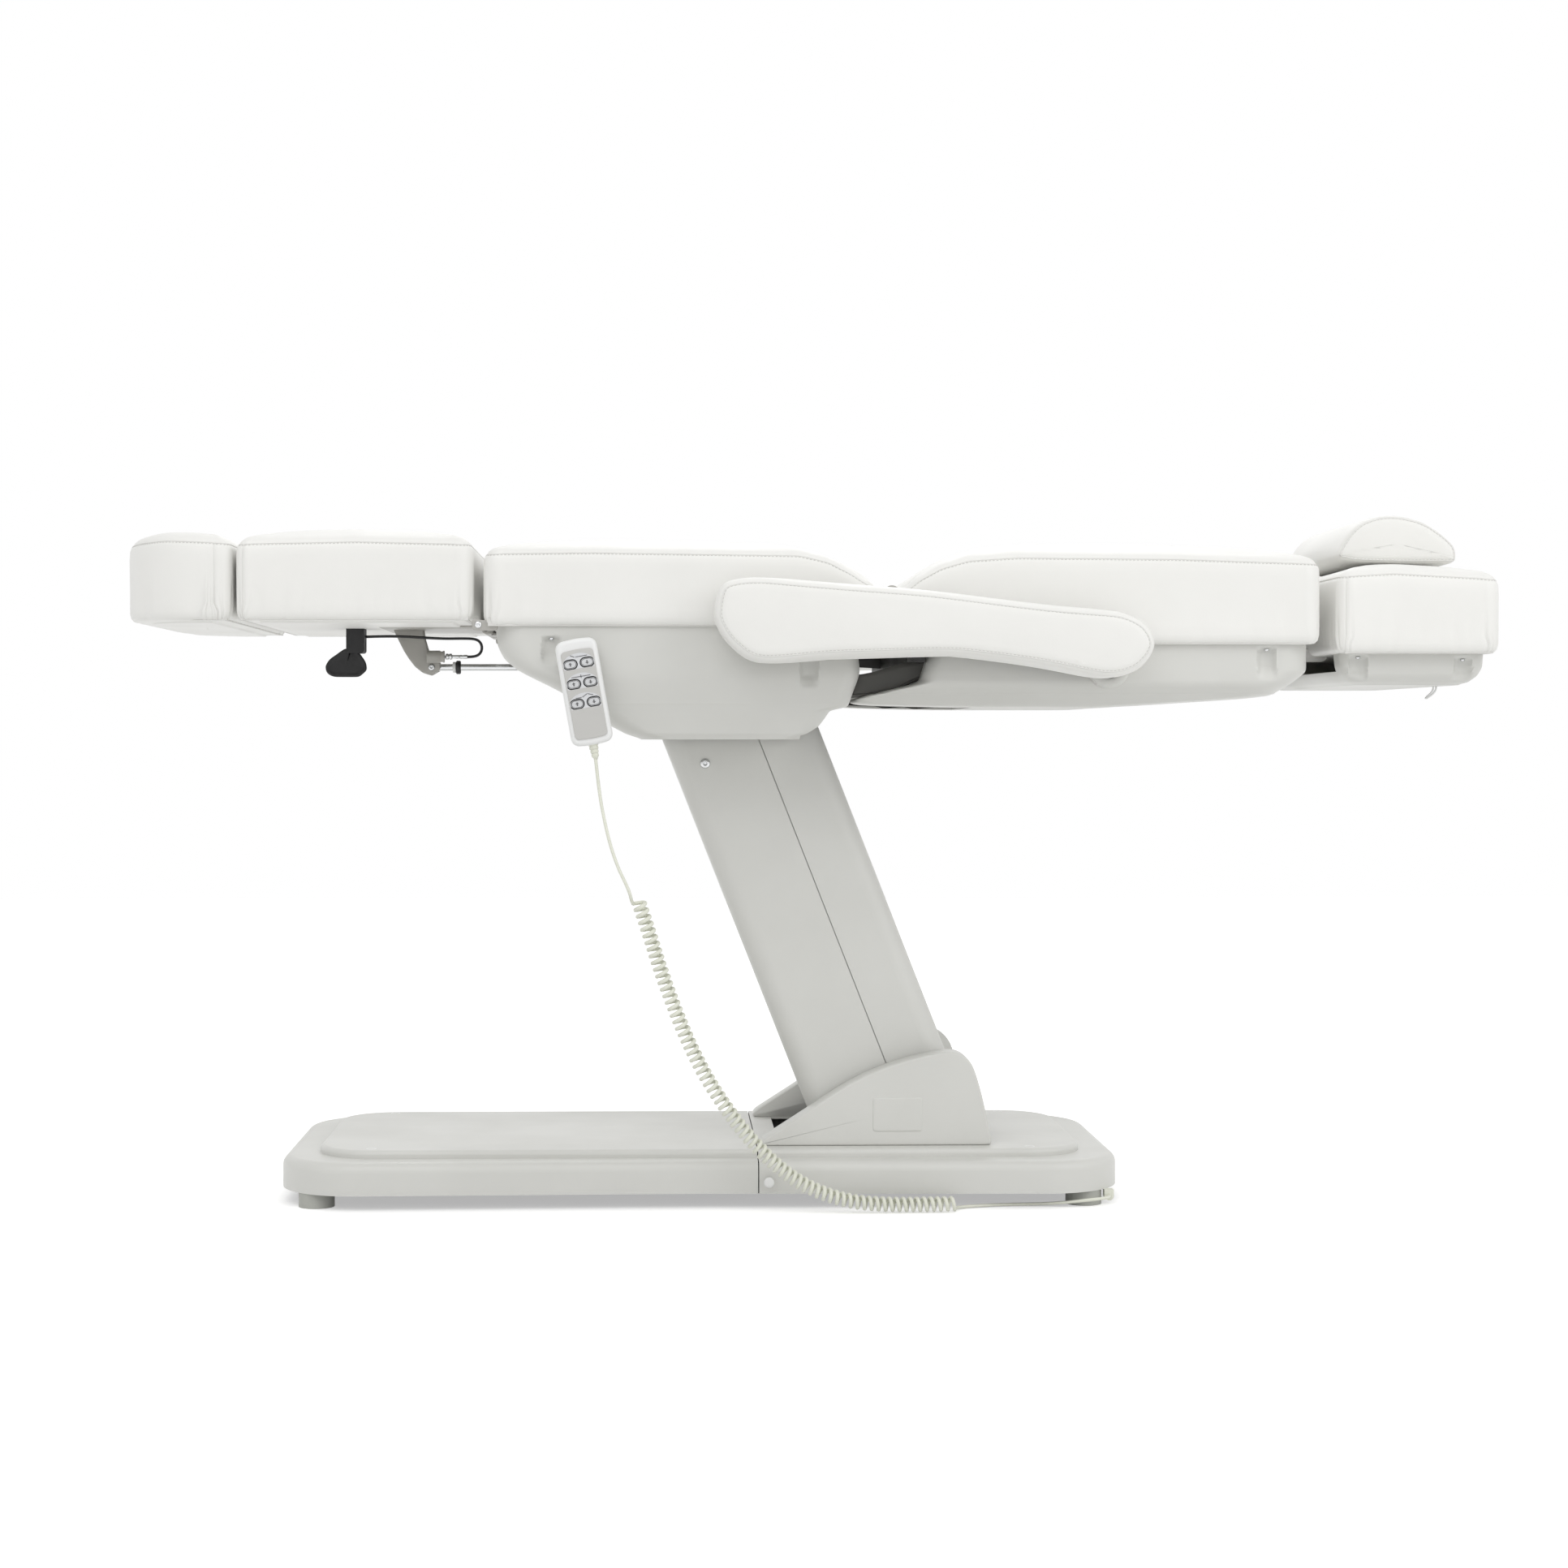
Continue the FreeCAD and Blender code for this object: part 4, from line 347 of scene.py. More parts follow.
addCamera(view)
studio = {"floorSize": 14.0, "floorColor": (0.86, 0.86, 0.855), "floorRough": 0.8, "floorGlow": 0.42,
          "worldStrength": 0.70, "aim": (0.0, 0.0, 0.6), "white": (1.0, 1.0, 1.0, 1.0),
          "lamps": [("keyLamp", (-1.6, -3.2, 4.2), 3.4, 49.0), ("fillLamp", (2.8, -2.6, 2.6), 3.0, 36.0),
                    ("backLamp", (0.4, 3.4, 3.6), 3.2, 34.0)]}


def seenMask(tree):
    # one where the camera or a mirror sees the surface, none where it only sheds light
    seen = addNode(tree, "LightPath", {})
    either = addNode(tree, "Math", {})
    either.operation = "MAXIMUM"
    join(tree, (seen, "Is Camera Ray", either, 0), (seen, "Is Glossy Ray", either, 1))
    return either


def addStudio(settings):
    # a pale floor that the camera sees as the photograph's white, three soft lamps and an even sky
    material = bpy.data.materials.new("paleFloor")
    material.use_nodes = True
    tree = material.node_tree
    shader = tree.nodes["Principled BSDF"]
    setInputs(shader, {"Base Color": (*settings["floorColor"], 1.0), "Roughness": settings["floorRough"],
                       "Emission Color": settings["white"]})
    glow = addNode(tree, "Math", {1: settings["floorGlow"]})
    glow.operation = "MULTIPLY"
    join(tree, (seenMask(tree), "Value", glow, 0), (glow, "Value", shader, "Emission Strength"))
    half = settings["floorSize"] / 2
    corners = np.array([(-half, -half, 0), (half, -half, 0), (half, half, 0), (-half, half, 0)])
    addMesh("studioFloor", corners, [np.array([[0, 1, 2, 3]])], material, None, False)
    world = bpy.data.worlds.new("studioSky")
    world.use_nodes = True
    scene.world = world
    tree = world.node_tree
    sky = tree.nodes["Background"]
    sky.inputs["Color"].default_value = settings["white"]
    strength = addNode(tree, "Mix", {"A": settings["worldStrength"], "B": 1.0})
    join(tree, (seenMask(tree), "Value", strength, "Factor"), (strength, "Result", sky, "Strength"))
    for name, place, size, power in settings["lamps"]:
        lamp = bpy.data.lights.new(name, "AREA")
        lamp.size = size
        lamp.energy = power
        holder = bpy.data.objects.new(name, lamp)
        holder.location = place
        x, y, z = np.array(settings["aim"]) - np.array(place)
        holder.rotation_euler = (math.atan2(math.hypot(x, y), -z), 0.0, math.atan2(x, -y) + math.pi)
        scene.collection.objects.link(holder)


addStudio(studio)
print("camera and studio set")

# Hand control cord, lead by lead from the handset down to the base, and the release cable
cordRoute = {
    "upper": [(-0.2967, -0.309, 0.6295), (-0.2917, -0.314, 0.5813), (-0.2845, -0.322, 0.5428),
        (-0.276, -0.331, 0.508), (-0.2655, -0.3395, 0.4785), (-0.256, -0.345, 0.4595),
        (-0.25, -0.3465, 0.446), (-0.2473, -0.3385, 0.4335), (-0.246, -0.3249, 0.43)],
    "curly": [(-0.238, -0.32, 0.432), (-0.2235, -0.318, 0.389), (-0.2103, -0.315, 0.3448),
        (-0.1927, -0.312, 0.295), (-0.1728, -0.308, 0.245), (-0.1485, -0.303, 0.1948),
        (-0.1163, -0.297, 0.1443), (-0.0796, -0.29, 0.0968), (-0.0405, -0.284, 0.0593),
        (-0.0015, -0.28, 0.0342), (0.0432, -0.277, 0.0182), (0.0878, -0.275, 0.0123),
        (0.1434, -0.274, 0.0115), (0.197, -0.272, 0.012)],
    "lower": [(0.19774, -0.26745, 0.00381), (0.1995, -0.258, 0.0036), (0.207, -0.249, 0.0034),
        (0.222, -0.241, 0.0032), (0.248, -0.233, 0.0032), (0.285, -0.227, 0.0032), (0.322, -0.228, 0.0036),
        (0.355, -0.2335, 0.0063), (0.382, -0.236, 0.0095), (0.403, -0.2365, 0.0118),
        (0.4165, -0.2305, 0.0125), (0.42, -0.2171, 0.0125)],
    "release": [(-0.6346, -0.047, 0.8), (-0.606, -0.046, 0.801), (-0.576, -0.041, 0.8005),
        (-0.546, -0.033, 0.799), (-0.52, -0.028, 0.798), (-0.497, -0.026, 0.7985),
        (-0.4756, -0.025, 0.798), (-0.468, -0.0245, 0.7904), (-0.468, -0.024, 0.7796),
        (-0.4756, -0.0235, 0.772), (-0.497, -0.0226, 0.7716), (-0.5215, -0.0225, 0.772)],
    "radius": 0.0023, "curlThick": 0.0027, "curlRadius": 0.0082, "curls": 71, "turnPoints": 22,
    "sides": 10, "splitCurl": 34, "cableRadius": 0.002, "oval": 0.92}


def routeLine(points, count):
    # points read from a smooth NURBS line whose control points are the route
    curve = bpy.data.curves.new("route", "CURVE")
    curve.dimensions = "3D"
    curve.resolution_u = 24
    spline = curve.splines.new("NURBS")
    spline.points.add(len(points) - 1)
    spline.points.foreach_set("co", np.column_stack([points, np.ones(len(points))]).ravel())
    spline.order_u = 3
    spline.use_endpoint_u = True
    holder = bpy.data.objects.new("route", curve)
    mesh = bpy.data.meshes.new_from_object(holder)
    line = readVectors(mesh.vertices, "co")
    bpy.data.objects.remove(holder)
    bpy.data.curves.remove(curve)
    bpy.data.meshes.remove(mesh)
    return along(line, count)


def addLead(name, points, count, radius, finish, body):
    # a plain round cord along its route
    line = routeLine(points, count)
    return closedForm(name, tubeRings(line, radius, cordRoute["sides"]), finish, body), line


def curlLine(settings):
    # a helix about the route: the way out from it turns once for each curl, starting and ending below
    count = settings["curls"] * settings["turnPoints"] + 1
    route = routeLine(settings["curly"], count)
    ahead = unit(np.gradient(route, axis=0))
    side = np.array([0.0, 1.0, 0.0])
    first = unit(side - ahead * (ahead @ side)[:, None])
    second = np.cross(ahead, first)
    angle = np.linspace(0, 2 * math.pi * settings["curls"], count)[:, None] - math.pi / 2
    radial = np.cos(angle) * first + np.sin(angle) * second
    return route + settings["curlRadius"] * radial, radial


def addCurls(name, line, radial, settings):
    # an oval jacket: flatter away from the coil's axis than along it
    flank = unit(np.cross(unit(np.gradient(line, axis=0)), radial))
    angle = fullTurn(settings["sides"])[None, :, None]
    oval = settings["oval"] * np.cos(angle) * radial[:, None] - np.sin(angle) * flank[:, None]
    return closedForm(name, line[:, None] + settings["curlThick"] * oval, cordJacket, None, True)


upperLead, upperLine = addLead("handsetLead", cordRoute["upper"], 90, cordRoute["radius"], cordJacket, None)
lowerLead, lowerLine = addLead("baseLead", cordRoute["lower"], 90, cordRoute["radius"], cordJacket, "base")
helix, helixSide = curlLine(cordRoute)
split = cordRoute["splitCurl"] * cordRoute["turnPoints"]
curlsAbove = addCurls("curlsAbove", helix[:split + 1], helixSide[:split + 1], cordRoute)
curlsBelow = addCurls("curlsBelow", helix[split:], helixSide[split:], cordRoute)
releaseCable, cableLine = addLead("releaseCable", cordRoute["release"], 110, cordRoute["cableRadius"],
                                  cableJacket, "leg")
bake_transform(upperLead)
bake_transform(curlsAbove)
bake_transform(curlsBelow)
cordPieces = [(upperLead, upperLine, "radius", "hanging", "cord_upper_lead"),
              (curlsAbove, helix[:split + 1], "curlThick", "coiled", None),
              (curlsBelow, helix[split:], "curlThick", "coiled", "curly_cord"),
              (lowerLead, lowerLine, "radius", "loose", "cord_lower_lead"),
              (releaseCable, cableLine, "cableRadius", "taut", "release_cable")]
for piece, line, thick, lay, node in cordPieces:
    if node:
        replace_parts(piece, node)
print("cords laid:", round(float(wayAlong(helix)[-1]), 3), "m of curls")

# Upholstery: each cushion is a boxed form, drawn in a little, swollen by cloth and then given its seams
upholstery = {
    "arc": 22, "seamSteps": (-0.008, -0.0045, -0.002, 0.0, 0.002, 0.0045, 0.008), "seamDepth": 0.0011,
    "seamSpread": 0.0025, "cornerSpread": 1.2, "lipRadius": 0.0008, "lipLift": 0.0003, "lipSides": 6,
    "pitch": 0.0052, "stitch": 0.0036, "threadRadius": 0.00055, "stitchSides": 5,
    "voxel": 0.0085, "pressure": 4.0, "frames": 20, "hold": 0.006,
    "pucker": 0.0020, "ripple": 0.0005, "puckerRow": 11.0, "puckerRows": 2.2, "puckerReach": 9.0,
    "puckerWaves": (30, 78),
    "sideBounds": (-0.0015, 0.006), "wallRow": 12, "evenReach": 6, "fadeEnd": 13, "fadeRows": 6,
    "hem": 0.030, "leastCorner": 0.004, "leastSqueeze": 0.35}
cushions = {
    "footCushion": {
        "node": "foot_cushion", "body": "foot", "x": (-0.95, -0.79), "half": 0.29, "low": 0.8135,
        "top": [(-0.95, 0.938), (-0.88, 0.942), (-0.79, 0.937)], "corners": (0.118, 0.02),
        "runs": (26, 90), "shoulder": 0.028, "seam": 0.0135, "crown": 0.006, "fold": 0.0022, "cap": 0.01,
        "drawn": (0.005, 0.006), "boxing": ("rear", 0), "fill": 0.85, "seed": 11},
    "calfCushion": {
        "node": "calf_cushion", "body": "leg", "x": (-0.787, -0.462), "half": 0.295, "low": 0.8135,
        "top": [(-0.787, 0.938), (-0.62, 0.942), (-0.462, 0.938)], "corners": (0.018, 0.022),
        "runs": (56, 90), "shoulder": 0.028, "seam": 0.0145, "crown": 0.008, "fold": 0.0022, "cap": 0.012,
        "drawn": (0.005, 0.007), "boxing": ("front", 7), "fill": 0.85, "seed": 12},
    "seatCushion": {
        "node": "seat_cushion", "body": "seat", "x": (-0.451, 0.094), "half": 0.3, "low": 0.8062,
        "top": [(-0.451, 0.925), (-0.3, 0.927), (-0.02, 0.923), (0.02, 0.913), (0.055, 0.893),
            (0.094, 0.863)],
        "corners": (0.023, 0.022), "runs": (86, 90), "shoulder": 0.028, "seam": 0.0135, "crown": 0.01,
        "fold": 0.0, "cap": 0.014, "drawn": (0.005, 0.008), "boxing": None, "fill": 0.8, "seed": 13},
    "backCushion": {
        "node": "back_cushion", "body": "back", "x": (0.1, 0.699), "half": 0.3, "low": 0.7822,
        "top": [(0.1, 0.838), (0.121, 0.866), (0.145, 0.887), (0.175, 0.905), (0.212, 0.917),
            (0.28, 0.922), (0.5, 0.92), (0.699, 0.913)],
        "corners": (0.022, 0.023), "runs": (94, 90), "shoulder": 0.028, "seam": 0.0145, "crown": 0.01,
        "fold": 0.0, "cap": 0.014, "drawn": (0.005, 0.008), "boxing": None, "fill": 0.8, "seed": 14},
    "headCushion": {
        "node": "head_cushion", "body": "headrest", "x": (0.721, 0.95), "half": 0.29, "low": 0.7702,
        "top": [(0.721, 0.894), (0.8, 0.899), (0.95, 0.89)], "corners": (0.02, 0.022), "runs": (38, 90),
        "shoulder": 0.028, "seam": 0.0135, "crown": 0.0, "fold": 0.0, "cap": 0.008,
        "drawn": (0.005, 0.006), "boxing": ("front", 7), "fill": 0.85, "seed": 15}}


def planLoops(x0, x1, half, front, rear, arc, runs):
    # rounded rectangles, one a row: a quarter arc at each corner and evenly spaced points on the runs between
    turn = np.linspace(0, math.pi / 2, arc)
    corners = []
    for side, start, radius, middle in ((1, 0.0, rear, x1 - rear), (1, 0.5, front, x0 + front),
                                        (-1, 1.0, front, x0 + front), (-1, 1.5, rear, x1 - rear)):
        angle = start * math.pi + turn
        corners.append(np.stack([middle[:, None] + radius[:, None] * np.cos(angle),
                                 side * (half - radius)[:, None] + radius[:, None] * np.sin(angle)], -1))
    parts = []
    for number, corner in enumerate(corners):
        share = np.linspace(0, 1, runs[number % 2] + 2)[1:-1][None, :, None]
        last, following = corner[:, -1:], corners[(number + 1) % 4][:, :1]
        parts += [corner, last + share * (following - last)]
    return np.concatenate(parts, 1)


def atLevels(loops, level):
    # each plan loop is set at its height
    return np.concatenate([loops, np.broadcast_to(level[:, None, None], (*loops.shape[:2], 1))], -1)


def cushionRings(spec, rows, drawn):
    # each row is a plan loop drawn in by its inset and shrunk by its scale, and heights run up to the top line
    inset, scale, share, offset = np.array(rows).T
    middle = [(spec["x"][0] + spec["x"][1]) / 2, 0.0]
    side, top = drawn
    front, rear = [np.maximum(corner - inset, upholstery["leastCorner"]) for corner in spec["corners"]]
    plan = planLoops(spec["x"][0] + side + inset, spec["x"][1] - side - inset, spec["half"] - side - inset,
                     front, rear, upholstery["arc"], spec["runs"])
    plan = (plan - middle) * scale[:, None, None] + middle
    stations, heights = np.array(spec["top"]).T
    tall = np.interp(plan[..., 0], stations, heights) - top - spec["low"]
    squeeze = np.clip(tall / (heights.max() - spec["low"]), upholstery["leastSqueeze"], 1.0)
    crown = spec["crown"] * np.maximum(0, share - 0.5)[:, None] * 2 * (1 - scale**2)[:, None]
    raised = offset[:, None] * np.where(share[:, None] == 1.0, squeeze, 1.0)
    level = spec["low"] + share[:, None] * tall + raised + crown
    return np.concatenate([plan, level[..., None]], -1)


def shoulderInset(drop, radius):
    # how far the round shoulder stands in at a drop below the top
    rise = np.clip(1 - drop / radius, 0.0, 1.0)
    return radius * (1 - np.sqrt(1 - rise**2))


def cushionRows(spec):
    # rows of (inset, scale, share of the height, offset), from the middle of the underside over the folded hem,
    # up the side, past the seam and over the shoulder to the top
    fold, hem, radius = spec["fold"], upholstery["hem"], spec["shoulder"]
    rows = [(hem + 0.004, s, 0.0, -fold) for s in (0.2, 0.45, 0.7, 0.88, 1.0)]
    rows += [(hem, 1.0, 0.0, -fold), (hem - 0.001, 1.0, 0.0, -0.3 * fold), (hem - 0.002, 1.0, 0.0, 0.0)]
    edge = ((0.014, 0.0), (0.0058, 0.0014), (0.0019, 0.0055), (0.0, 0.013))
    rows += [(inset, 1.0, 0.0, rise) for inset, rise in edge]
    rows += [(0.0, 1.0, s, 0.0) for s in (0.2, 0.32, 0.44, 0.56, 0.66, 0.74)]
    first = len(rows)
    drops = [spec["seam"] - step for step in upholstery["seamSteps"]]
    drops += [radius * (1 - math.sin(math.radians(angle))) for angle in (62, 70, 78, 85)]
    rows += [(float(shoulderInset(drop, radius)), 1.0, 1.0, -drop) for drop in drops]
    rows += [(radius, s, 1.0, 0.0) for s in (0.985, 0.95, 0.9, 0.82, 0.72, 0.6, 0.46, 0.32, 0.18, 0.07)]
    return rows, first


def nearestDistance(points, targets):
    # least distance from each point to a set of targets, worked out in blocks
    blocks = np.array_split(points, max(1, len(points) // 1500))
    return np.concatenate([np.sqrt(((block[:, None] - targets[None])**2).sum(-1).min(1)) for block in blocks])


def swollen(source, settings, held):
    # a remeshed copy is blown up as cloth that is held at its edges and seams; no point moves more than the cap
    copy = bpy.data.objects.new(source.name + "Swell", source.data.copy())
    scene.collection.objects.link(copy)
    remesh = copy.modifiers.new("remesh", "REMESH")
    remesh.mode = "VOXEL"
    remesh.voxel_size = settings["voxel"]
    mesh = bake(copy)
    before = readVectors(mesh.vertices, "co")
    group = copy.vertex_groups.new(name="held")
    distance = nearestDistance(before, held)
    hold = settings["hold"]
    group.add(np.flatnonzero(distance < hold).tolist(), 1.0, "REPLACE")
    group.add(np.flatnonzero((distance >= hold) & (distance < 2 * hold)).tolist(), 0.4, "REPLACE")
    cloth = copy.modifiers.new("cloth", "CLOTH")
    cloth.settings.use_pressure = True
    cloth.settings.uniform_pressure_force = settings["pressure"]
    cloth.settings.vertex_group_mass = "held"
    cloth.settings.effector_weights.gravity = 0.0
    cloth.settings.quality = 4
    cloth.collision_settings.use_collision = False
    cloth.point_cache.frame_start = 1
    cloth.point_cache.frame_end = settings["frames"]
    for number in range(1, settings["frames"] + 1):
        scene.frame_set(number)
    ready = bpy.data.meshes.new_from_object(copy.evaluated_get(bpy.context.evaluated_depsgraph_get()))
    move = readVectors(ready.vertices, "co") - before
    reach = np.maximum(np.linalg.norm(move, axis=1, keepdims=True), 1e-9)
    after = before + move / reach * settings["cap"] * np.tanh(reach / settings["cap"])
    copy.modifiers.clear()
    mesh.vertices.foreach_set("co", after.ravel())
    rounding = copy.modifiers.new("rounding", "SUBSURF")
    rounding.levels = rounding.render_levels = 1
    bake(copy)
    scene.frame_set(1)
    print("swollen", source.name, len(before), "points, moved up to", round(float(reach.max()) * 1000, 1), "mm")
    return copy


def wrapped(piece, target):
    # the grid is laid on the swollen form
    wrap = piece.modifiers.new("wrap", "SHRINKWRAP")
    wrap.target = target
    wrap.wrap_method = "NEAREST_SURFACEPOINT"
    bake(piece)
    bpy.data.objects.remove(target)


def pushed(piece, depth):
    # every point of the grid moves along its normal by its own depth; gives the new grid and its normals
    mesh, poles = piece.data, [0.0, 0.0]
    move = np.concatenate([depth.ravel(), poles])[:, None] * readVectors(mesh.vertices, "normal")
    mesh.vertices.foreach_set("co", (readVectors(mesh.vertices, "co") + move).ravel())
    mesh.update()
    return [readVectors(mesh.vertices, kind)[:depth.size].reshape(*depth.shape, 3) for kind in ("co", "normal")]


def waves(count, seed, least, most):
    # a smooth uneven wave round a loop: a few sines of seeded phase
    draw = np.random.default_rng(seed)
    place = fullTurn(count)
    turns = draw.integers(least, most, 9)
    return np.sin(place[:, None] * turns + draw.uniform(0, 6.28, 9)).sum(1) / 3


def loopTube(name, path, out, radius, sides, finish, body):
    # a round lip along a closed path, half sunk in the cover
    side = np.cross(unit(np.roll(path, -1, 0) - np.roll(path, 1, 0)), out)
    angle = fullTurn(sides)[None, :, None]
    rings = path[:, None] + radius * (np.cos(angle) * out[:, None] + np.sin(angle) * side[:, None])
    faces = quads(len(path) + 1, sides) % (len(path) * sides)
    return addMesh(name, rings.reshape(-1, 3), [faces], finish, body)


def addStitches(name, path, out, body):
    # short raised stitches one pitch apart: four small rings each, sunk at both ends
    line, lift = [np.concatenate([loop, loop[:1]]) for loop in (path, out)]
    way = wayAlong(line)
    count = int(way[-1] / upholstery["pitch"])
    middle = (np.arange(count) + 0.5) * way[-1] / count
    at = middle[:, None] + np.array([-0.5, -0.3, 0.3, 0.5]) * upholstery["stitch"]
    centre, raised = [np.stack([np.interp(at, way, kind[:, i]) for i in range(3)], -1) for kind in (line, lift)]
    raised = unit(raised)
    centre = centre + raised * (np.array([-0.7, 0.25, 0.25, -0.7]) * upholstery["threadRadius"])[None, :, None]
    side = np.cross(np.broadcast_to(unit(centre[:, -1:] - centre[:, :1]), raised.shape), raised)
    sides = upholstery["stitchSides"]
    angle = fullTurn(sides)[None, None, :, None]
    radius = (np.array([0.5, 1.0, 1.0, 0.5]) * upholstery["threadRadius"])[None, :, None, None]
    ring = np.cos(angle) * raised[:, :, None] + np.sin(angle) * side[:, :, None]
    points = centre[:, :, None] + radius * ring
    start = (np.arange(count) * 4 * sides)[:, None]
    tubes = (start[..., None] + quads(4, sides)[None]).reshape(-1, 4)
    ends = np.concatenate([start + np.arange(sides)[::-1], start + 3 * sides + np.arange(sides)])
    return addMesh(name, points.reshape(-1, 3), [tubes, ends], thread, body)


def squared(grid, full, seamRow):
    # the sides stay within a little of the full form, and the lower edge keeps its height and goes with the
    # side above it; the correction is whole up to the shoulder and fades out on the top
    ahead = np.roll(full, -1, 1) - np.roll(full, 1, 1)
    outward = unit(np.stack([ahead[..., 1], -ahead[..., 0], np.zeros(ahead.shape[:2])], -1))
    growth = ((grid - full) * outward).sum(-1)
    bound = np.clip(growth, *upholstery["sideBounds"])
    share = (seamRow + upholstery["fadeEnd"] - np.arange(len(grid))) / upholstery["fadeRows"]
    grid += outward * (np.clip(share, 0, 1)[:, None] * (bound - growth))[..., None]
    wall, reach = upholstery["wallRow"], upholstery["evenReach"]
    even = sum(np.roll(bound[wall], step) for step in range(-reach, reach + 1)) / (2 * reach + 1)
    grid[:wall] = full[:wall] + outward[:wall] * even[None, :, None]
    return grid


def aroundLoop(columns, column):
    # how many columns away each column is from one of them, the shorter way round
    return np.abs((np.arange(columns) - column + columns / 2) % columns - columns / 2)


def addCushion(name, spec):
    # the grid is swollen and squared, pressed in along its seams, and then gets its lips and stitches
    rows, first = cushionRows(spec)
    steps = np.array(upholstery["seamSteps"])
    seamRow = first + len(steps) // 2
    rings = cushionRings(spec, rows, spec["drawn"])
    count, columns, _ = rings.shape
    piece = closedForm(name, rings, leatherette, None)
    held = np.concatenate([rings[:upholstery["wallRow"]].reshape(-1, 3), rings[seamRow]])[::2]
    wrapped(piece, swollen(piece, {**upholstery, "cap": spec["cap"]}, held))
    laid = readVectors(piece.data.vertices, "co")
    inner = laid[:count * columns].reshape(rings.shape)
    laid[:count * columns] = squared(inner, cushionRings(spec, rows, (0.0, 0.0)), seamRow).reshape(-1, 3)
    piece.data.vertices.foreach_set("co", laid.ravel())
    piece.data.update()
    # the seam's valley, the corner seams' valleys, and puckers and ripples where the cover is pulled under
    depth = np.zeros((count, columns))
    valley = upholstery["seamDepth"] * np.exp(-(steps / upholstery["seamSpread"])**2)
    depth[first:first + len(steps)] -= valley[:, None]
    arc, runs = upholstery["arc"], spec["runs"]
    starts = np.cumsum([0, arc + runs[0], arc + runs[1], arc + runs[0]])
    seams = []
    if spec["boxing"]:
        end, step = spec["boxing"]
        chosen = {"rear": ((0, arc - 1 - step), (3, step)), "front": ((1, step), (2, arc - 1 - step))}[end]
        seams = [int(starts[corner]) + place for corner, place in chosen]
    for column in seams:
        away = aroundLoop(columns, column) / upholstery["cornerSpread"]
        depth[10:seamRow + 1] -= upholstery["seamDepth"] * np.exp(-away**2)
    nearCorner = np.zeros(columns)
    for start in starts:
        away = np.maximum(aroundLoop(columns, start + arc / 2) - arc / 2, 0) / upholstery["puckerReach"]
        nearCorner = np.maximum(nearCorner, np.exp(-away**2))
    low = np.exp(-((np.arange(count) - upholstery["puckerRow"]) / upholstery["puckerRows"])**2)
    pull = upholstery["ripple"] + upholstery["pucker"] * nearCorner
    depth -= low[:, None] * pull * np.clip(waves(columns, spec["seed"], *upholstery["puckerWaves"]), 0, None)
    grid, outward = pushed(piece, depth)
    body, lip, sides = spec["body"], upholstery["lipRadius"], upholstery["lipSides"]
    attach(piece, body)
    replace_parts(piece, spec["node"])
    path = grid[seamRow] + outward[seamRow] * upholstery["lipLift"]
    loopTube(name + "Seam", path, outward[seamRow], lip, sides, piping, body)
    addStitches(name + "Stitches", grid[seamRow - 1], outward[seamRow - 1], body)
    for number, column in enumerate(seams):
        path = along(grid[9:seamRow + 1, column], 60)
        closedForm(f"{name}CornerSeam{number + 1}", tubeRings(path, lip, sides), piping, body)


for cushionName, cushionSpec in cushions.items():
    addCushion(cushionName, cushionSpec)
print("cushions made:", len(cushions))

# Arm pads and head pillow: a side outline carried across, with a welted panel at each end
armPad = {
    "outline": [(-0.139, 0.821), (-0.1335, 0.8515), (-0.1155, 0.866), (-0.082, 0.8698), (-0.029, 0.8662),
        (0.073, 0.858), (0.163, 0.8505), (0.299, 0.834), (0.387, 0.8265), (0.4165, 0.8205),
        (0.4405, 0.806), (0.453, 0.7805), (0.446, 0.76), (0.4285, 0.742), (0.399, 0.732), (0.364, 0.734),
        (0.299, 0.747), (0.211, 0.759), (0.152, 0.762), (0.065, 0.7595), (0.012, 0.7575), (-0.037, 0.753),
        (-0.076, 0.752), (-0.101, 0.762), (-0.125, 0.785), (-0.1365, 0.806)],
    "rows": [(0.016, s, 0.3135) for s in (0.12, 0.35, 0.6, 0.8, 0.93, 1.0)] + [(0.0105, 1.0, 0.314),
        (0.0085, 1.0, 0.3147), (0.0072, 1.0, 0.3153), (0.0058, 1.0, 0.316), (0.0035, 1.0, 0.3178),
        (0.0012, 1.0, 0.3215), (0.0, 1.0, 0.328), (0.0, 1.0, 0.343), (0.0, 1.0, 0.358), (0.0, 1.0, 0.373),
        (0.0, 1.0, 0.388), (0.0012, 1.0, 0.3945), (0.0035, 1.0, 0.3985), (0.0058, 1.0, 0.4003),
        (0.0072, 1.0, 0.4012), (0.0085, 1.0, 0.4019), (0.0105, 1.0, 0.4026)]
        + [(0.016, s, 0.4036) for s in (1.0, 0.93, 0.8, 0.6, 0.35, 0.12)],
    "seamRows": (8, 20), "columns": 300, "cap": 0.005, "drawn": 0.0025, "fill": 0.85}
